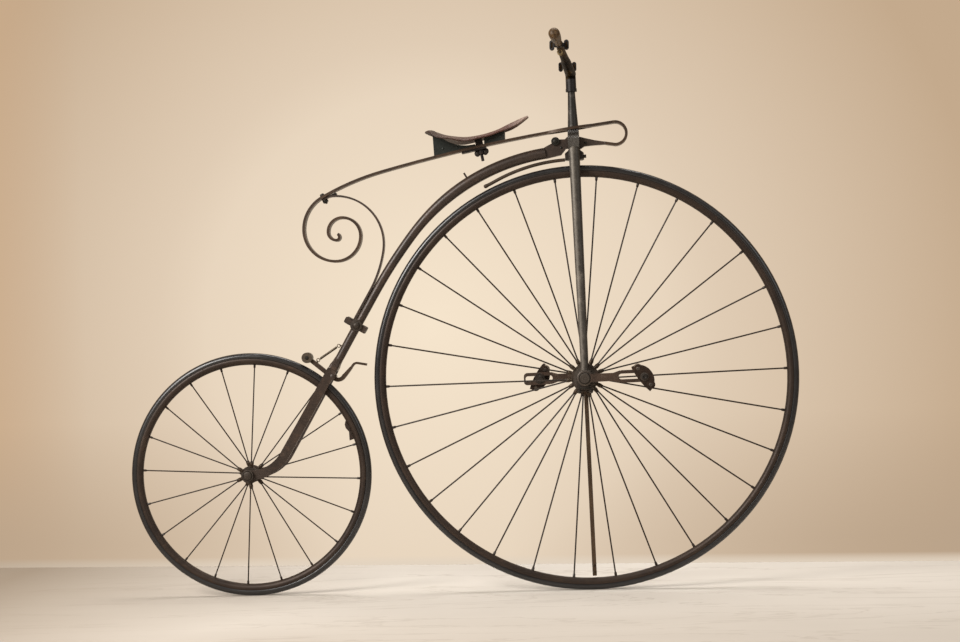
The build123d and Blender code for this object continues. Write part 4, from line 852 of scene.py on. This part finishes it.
# -------------------- front wheel: tyre, rim and spokes
# A solid rubber cord is cemented in a hollow iron rim, and fifteen loops of wire spoke pull it to the hub.
# The rubber is grey-black and crazed, the rim brown with dry rust, and the wires have a thin oxide skin.
rubber, tree, shader = finish("tyre_rubber", Specular_IOR_Level=0.7)
place = spot(tree)
cloud = noise(tree, place, 16.0, 6.0, 0.6)
dust = noise(tree, place, 90.0, 6.0, 0.7, 0.6)
grain = noise(tree, place, 800.0, 3.0, 0.6)
craze = cells(tree, place, 190.0, "DISTANCE_TO_EDGE")
crazed = times(tree, spread(tree, craze, 0.0, 0.05, 1.0, 0.0), spread(tree, cloud, 0.42, 0.6))
colour = blend_colour(tree, spread(tree, cloud, 0.32, 0.68), tint(15, 13, 14), tint(26, 23, 24))
colour = blend_colour(tree, spread(tree, dust, 0.54, 0.78, 0.0, 0.4), colour, tint(58, 51, 46))
colour = blend_colour(tree, times(tree, crazed, 0.6), colour, tint(11, 10, 10))
relief = less(tree, times(tree, grain, 0.5), times(tree, crazed, 0.7))
skin_over(tree, colour, spread(tree, cloud, 0.3, 0.7, 0.27, 0.38), relief, 0.08, 0.00004)
dress(rubber, "front_tyre", "rear_tyre")
rim_iron = forged_iron("rim_iron", (42, 33, 28), (64, 51, 42), (94, 79, 68), rust=0.35, rub=0.3)
spoke_iron = forged_iron("spoke_iron", (27, 17, 9), (47, 33, 20), (70, 53, 37), rust=0.2, rub=0.3, metal=0.2)
dress(rim_iron, "front_rim", "rear_rim")
dress(spoke_iron, "front_spokes", "rear_spokes")

PHASE = 1.2                 # how far the wheel is turned, in degrees
FRONT_LUGS = 15
LUG_STEP = 360 / FRONT_LUGS
SPOKE_SIDE = 0.0019         # from a lug's middle to each of its two spokes
SPOKE_WIRE = 4.1
SPOKE_BOW = 0.0005
FRONT_NUT = 0.0095          # where a rim nut starts, in from the spoke's end
# a wheel's middle, how far out its flanges stand, and the radii to the holes of its lugs and to its rim
FRONT = (AXLE, 0.036, 0.0484, 0.5275)
REAR_WHEEL = (REAR, 0.024, 0.0344, 0.2917)


def spoke_line(wheel, lug, side, half, fan):
    """A spoke's two ends and its direction: its lug is given in degrees, and its tip lies fan degrees off."""
    centre, flange, hole_r, rim_r = wheel
    radial = ray(lug)
    across = Vector((-radial.z, 0, radial.x))
    start = beside(centre, side * flange) + radial * hole_r + across * (half * SPOKE_SIDE)
    end = beside(centre, 0) + ray(lug + half * fan) * rim_r
    return start, end, (end - start).normalized()


front_lugs = [(PHASE + (k - 0.25) * LUG_STEP, -1 if k % 2 == 0 else 1) for k in range(FRONT_LUGS)]
nuts, wires = bmesh.new(), bmesh.new()
for lug, side in front_lugs:
    for half in (-1, 1):
        start, end, way = spoke_line(FRONT, lug, side, half, 6)
        turned(nuts, start, way, ((-1, 0), (-1, 3), (1.6, 3), (2.8, 2.4), (3.4, 2), (3.4, 0)), 8)
        turned(nuts, end - way * FRONT_NUT, way,
               ((0, 0), (0, 2.2), (2.2, 3.4), (8.5, 3.6), (11, 3.6), (11, 0)), 8)
        # the wire, bowed a little by its age, in six straight lengths
        long = (end - start).length
        bow = way.cross(Vector((0, 1, 0))).normalized() * SPOKE_BOW * half
        stops = [start + way * (long * k / 6) + bow * sin(pi * k / 6) for k in range(7)]
        for low, high in zip(stops, stops[1:]):
            length = (high - low).length / MM
            turned(wires, low, high - low, ((0, SPOKE_WIRE / 2), (length, SPOKE_WIRE / 2)), 8)
keep("front_spoke_nuts", nuts, spoke_iron, "front_wheel")
wires = keep("front_spoke_wires", wires, spoke_iron, "front_wheel")
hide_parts("front_spokes")

# -------------------- front hub, its lugs and the tension levers
# A turned iron barrel with two flanges; each round lug stands out from a flange and takes one loop of wire.
# Two flat levers on the barrel once tightened the whole wheel, and their wires to the rim are long gone.
hub_iron = forged_iron("hub_iron", (50, 44, 38), (82, 71, 62), (114, 104, 92), rust=0.45, rub=0.5)
lug_iron = forged_iron("lug_iron", (44, 34, 24), (72, 57, 41), (108, 91, 69), rust=0.45, rub=0.45)
lever_iron = forged_iron("lever_iron", (54, 41, 29), (92, 73, 53), (130, 110, 84), rust=0.55, rub=0.4)
dress(hub_iron, "front_hub", "rear_hub")
dress(lever_iron, "tension_levers")
FRONT_BARREL = 0.0345       # the lugs' feet, out from the axle
bm = bmesh.new()
for lug, side in front_lugs:
    turned(bm, beside(AXLE, side * FRONT[1]) + ray(lug) * FRONT_BARREL, ray(lug),
           ((0, 0), (0, 5.2), (2.2, 5.4), (3.6, 4.6), (4.8, 5.6), (10.8, 5.8), (12.8, 5), (14.2, 3.6),
            (14.2, 0)), 14)
keep("front_hub_lugs", bm, lug_iron, "front_wheel")

# turned rings on each side: the flange's dished face, the bearing's collar and the axle's end
bright_iron = forged_iron("bright_iron", (62, 55, 49), (90, 81, 73), (126, 117, 107), rust=0.25, rub=0.6)
HUB_RINGS = (
    (0.0380, ((0, 10), (0, 30), (1.2, 29.6), (1.6, 24), (3, 22.5), (6.6, 20), (6.8, 10), (0, 10))),
    (0.0628, ((0, 10), (0, 20.4), (1.4, 20.8), (3, 20.4), (4.2, 18.8), (4.6, 17.6), (4.6, 10), (0, 10))),
    (0.0798, ((0, 0), (0, 12.4), (1, 13.1), (2.8, 13), (3.6, 12), (3.8, 4), (3, 3), (3, 0))))
GROOVE_Y = 0.0797
rings, grooves = bmesh.new(), bmesh.new()
for side in (-1, 1):
    for y, profile in HUB_RINGS:
        boss(rings, AXLE, side * y, profile, 40)
    boss(grooves, AXLE, side * GROOVE_Y,
         ((0, 12.8), (0, 15.2), (0.6, 15.4), (1.2, 14.8), (1.2, 12.8), (0, 12.8)), 40)
keep("hub_rings", rings, bright_iron, "front_wheel")
keep("hub_grooves", grooves, knob_iron, "front_wheel")

# pins through both faces of each lever: how far from the axle, and their radius
LEVER_PINS = ((0.0500, 5), (0.4950, 4.2), (0.5120, 3.4))
LEVER_FACE = 0.0039
bm = bmesh.new()
for turn in (90, -90):
    for far, size in LEVER_PINS:
        for side in (-1, 1):
            boss(bm, AXLE + ray(PHASE + turn) * far, side * LEVER_FACE,
                 ((0, 0), (0, size), (1.2, size), (2.4, size * 0.7), (3, 0)), 14)
keep("lever_pins", bm, lug_iron, "front_wheel")

# -------------------- cranks and pedals
# Forged cranks with a long slot, so that the pedals can be set for the rider's leg.
# Each pedal is two half-moon plates riveted over a pair of grooved treads, free to turn on its spindle.
crank_iron = forged_iron("crank_iron", (57, 46, 38), (96, 77, 66), (126, 110, 97), rust=0.45, rub=0.5)
pedal_iron = forged_iron("pedal_iron", (35, 24, 17), (57, 42, 31), (100, 84, 70), rust=0.5, rub=0.45)
dress(crank_iron, "crank_right", "crank_left")
dress(dark_iron, "spindle_right", "spindle_left")
dress(pedal_iron, "pedal_right", "pedal_left")

tread, tree, shader = finish("pedal_tread", Specular_IOR_Level=0.4)
cloud = noise(tree, spot(tree), 60.0, 6.0, 0.65, 0.5)
grit = noise(tree, spot(tree), 700.0, 4.0, 0.7)
colour = blend_colour(tree, spread(tree, cloud, 0.32, 0.68), tint(76, 66, 56), tint(128, 114, 98))
colour = blend_colour(tree, spread(tree, grit, 0.5, 0.72, 0.0, 0.5), colour, tint(52, 45, 39))
skin_over(tree, colour, spread(tree, grit, 0.3, 0.7, 0.6, 0.8), grit, 0.5, 0.0004)

PEDALS = ((-1, "right", -53.0), (1, "left", 61.0))      # side, name and the tilt of its plates, in degrees
SPINDLES = {joint["name"]: Vector(joint["pos_m"]) for joint in frame["record"]["behaviour"]["joints"]}
TREAD_OFF = 0.026           # each tread's middle, from the spindle's
TREAD_FROM = 0.0893         # this and what follows: places out from the middle plane
PLATE_INSIDE = 0.0850
PLATE_OUTSIDE = 0.1690
PEDAL_END = 0.1734
CRANK_NUT = 0.0598
CRANK_WASHERS = (0.0666, 0.0804)
TREAD_RIBS = 11
RIB_STEP = 6.7
ribbed = [(0, 10), (0, 10.8)]
for k in range(TREAD_RIBS):
    ribbed += [(RIB_STEP * k + far, out) for far, out in ((1.4, 10.8), (2, 11.4), (5.8, 11.4), (6.4, 10.8))]
ribbed += [(75.4, 10.8), (75.4, 10)]
for side, hand, tilt in PEDALS:
    centre = SPINDLES["pedal_" + hand + "_spin"]
    treads, rivets, ends = bmesh.new(), bmesh.new(), bmesh.new()
    for off in (-TREAD_OFF, TREAD_OFF):
        boss(treads, centre + ray(tilt) * off, side * TREAD_FROM, ribbed, 24)
        for y, out in ((PLATE_INSIDE, -1), (PLATE_OUTSIDE, 1)):
            turned(rivets, beside(centre, side * y) + ray(tilt) * off, (0, side * out, 0),
                   ((-0.5, 0), (-0.5, 5), (0.8, 4.8), (1.6, 3.6), (1.8, 2.2), (1.1, 1.4), (1.1, 0)), 16)
    boss(rivets, centre, side * PLATE_OUTSIDE,
         ((-0.5, 6.2), (-0.5, 10.8), (0.4, 10.8), (0.6, 6.2), (-0.5, 6.2)), 28)
    boss(ends, centre, side * PEDAL_END,
         ((0, 0), (0, 7.4), (1, 7.6), (2.2, 7), (2.6, 4.4), (1.6, 3), (0.4, 2.6), (0.4, 0)), 24)
    nut(ends, beside(centre, side * CRANK_NUT), (0, side, 0), 19, 4.6, 15)
    for y in CRANK_WASHERS:
        boss(ends, centre, side * y, ((0, 0), (0, 14), (0.4, 14.4), (1, 14.4), (1.4, 14), (1.4, 0)), 28)
    keep("pedal_treads_" + hand, treads, tread, "pedal_" + hand)
    keep("pedal_rivets_" + hand, rivets, bright_iron, "pedal_" + hand)
    keep("spindle_ends_" + hand, ends, dark_iron, "front_wheel")

# -------------------- rear wheel
# The trailing wheel is built the same way, lighter, on a plain axle between the fork's blades.
# A small iron bracket, perhaps all that is left of a mudguard stay, is riveted inside its rim.
dress(rim_iron, "rim_bracket")
REAR_PHASE = -3.3
REAR_BARREL = 0.0215
REAR_NUT = 0.0090
# its lugs, in degrees, each with the halves of its loop: two wires fanned out, or one straight out
rear_lugs = [(-9 - 36 * k, (1, -1)) for k in range(5)] + [(-180, (0,))]
rear_lugs += [(-207 - 36 * k, (1, -1)) for k in range(4)] + [(-342, (0,))]
nuts, lugs = bmesh.new(), bmesh.new()
for k, (lug, halves) in enumerate(rear_lugs):
    side = -1 if k % 2 == 0 else 1
    lug += REAR_PHASE
    turned(lugs, beside(REAR, side * REAR_WHEEL[1]) + ray(lug) * REAR_BARREL, ray(lug),
           ((0, 0), (0, 5), (2, 5.2), (3.2, 4.4), (4.4, 5.3), (10, 5.5), (11.8, 4.7), (13, 3.4), (13, 0)), 14)
    for half in halves:
        start, end, way = spoke_line(REAR_WHEEL, lug, side, half, 9)
        turned(nuts, start, way, ((-1, 0), (-1, 2.8), (1.6, 2.8), (2.8, 2.1), (3.4, 1.8), (3.4, 0)), 8)
        turned(nuts, end - way * REAR_NUT, way,
               ((0, 0), (0, 1.8), (2.2, 2.9), (8, 3.1), (10.5, 3.1), (10.5, 0)), 8)
keep("rear_spoke_nuts", nuts, spoke_iron, "rear_wheel")
keep("rear_hub_lugs", lugs, lug_iron, "rear_wheel")

# -------------------- brake: lever, roller and return spring
# A hooked lever rocks on a pin between the blades; a pull on the lost cord pressed its roller on the tyre.
# A close-wound coil, hooked from the lever to an eye on the backbone, holds the roller off.
roller_iron = forged_iron("roller_iron", (50, 42, 33), (84, 71, 56), (112, 100, 86), rust=0.35, rub=0.4,
                          metal=0.2)
dress(spring_iron, "brake_lever")
dress(roller_iron, "brake_roller")
ROLLER = middle("brake_roller")
ROLLER_END = 0.0138
LEVER_PIN = ROLLER + Vector((0.0684, 0, -0.0519))
LEVER_PIN_END = 0.0223
roller_ends, lever_ends = bmesh.new(), bmesh.new()
for side in (-1, 1):
    boss(roller_ends, ROLLER, side * ROLLER_END, ((0, 0), (0, 5), (1.6, 4.8), (2.8, 3.6), (3.4, 0)), 24)
    boss(lever_ends, LEVER_PIN, side * LEVER_PIN_END,
         ((-1, 0), (-1, 7.2), (0.6, 6.8), (1.4, 4.8), (1.7, 0)), 18)
keep("roller_pin", roller_ends, knob_iron, "frame")
keep("brake_pins", lever_ends, frame_iron, "frame")

COIL_R = 0.0026
COIL_WIRE = 0.0009
COIL_PITCH = 0.0020
COIL_FOOT = LEVER_PIN + Vector((-0.0345, 0, 0.0485))
COIL_TOP = LEVER_PIN + Vector((0.0110, 0, 0.0781))
EYE_OFF = 0.0062            # an eye's middle, past the end of the coil
EYE_ARM = Vector((0.0042, 0, 0))
EYE_WIRE = 0.0011
HOOK_OFF = 0.0102           # where a hook starts, past the end of the coil
STEPS = 12                  # to each turn
coil_way = (COIL_TOP - COIL_FOOT).normalized()
turns = int((COIL_TOP - COIL_FOOT).length / COIL_PITCH)
bm = bmesh.new()
place = Matrix.Translation(COIL_FOOT + Vector((0, -COIL_R, 0))) @ turned_to(coil_way, "Y")
place = place @ Matrix.Rotation(radians(90), 4, "X") @ Matrix.Rotation(radians(90), 4, "Y")
wire = bmesh.ops.create_circle(bm, cap_ends=True, segments=6, radius=COIL_WIRE, matrix=place)["verts"]
rest = list({g for v in wire for g in list(v.link_edges) + list(v.link_faces)})
bmesh.ops.spin(bm, geom=wire + rest, cent=COIL_FOOT, axis=coil_way, dvec=coil_way * (COIL_PITCH / STEPS),
               angle=2 * pi * turns, steps=turns * STEPS)
for end, way in ((COIL_FOOT, -coil_way), (COIL_TOP, coil_way)):
    eye = end + way * EYE_OFF
    wire_ring(bm, eye, EYE_ARM, Vector((0, 1, 0)), EYE_WIRE)
    turned(bm, eye - way * 0.0040, -way, ((0, 0), (0, 0.8), (3, 0.8), (3, 0)), 8)
for at, way, long in ((COIL_TOP + coil_way * HOOK_OFF, (0.8616, 0, -0.5), 7.5),
                      (COIL_FOOT - coil_way * HOOK_OFF, (0.3, 0, -0.95), 6)):
    turned(bm, at, way, ((-1, 0), (-1, 1.6), (long, 1.6), (long, 0)), 10)
coil_iron = forged_iron("coil_iron", (66, 54, 40), (106, 89, 68), (140, 124, 100), rust=0.3)
coil = keep("brake_coil", bm, coil_iron, "frame")
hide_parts("brake_spring")
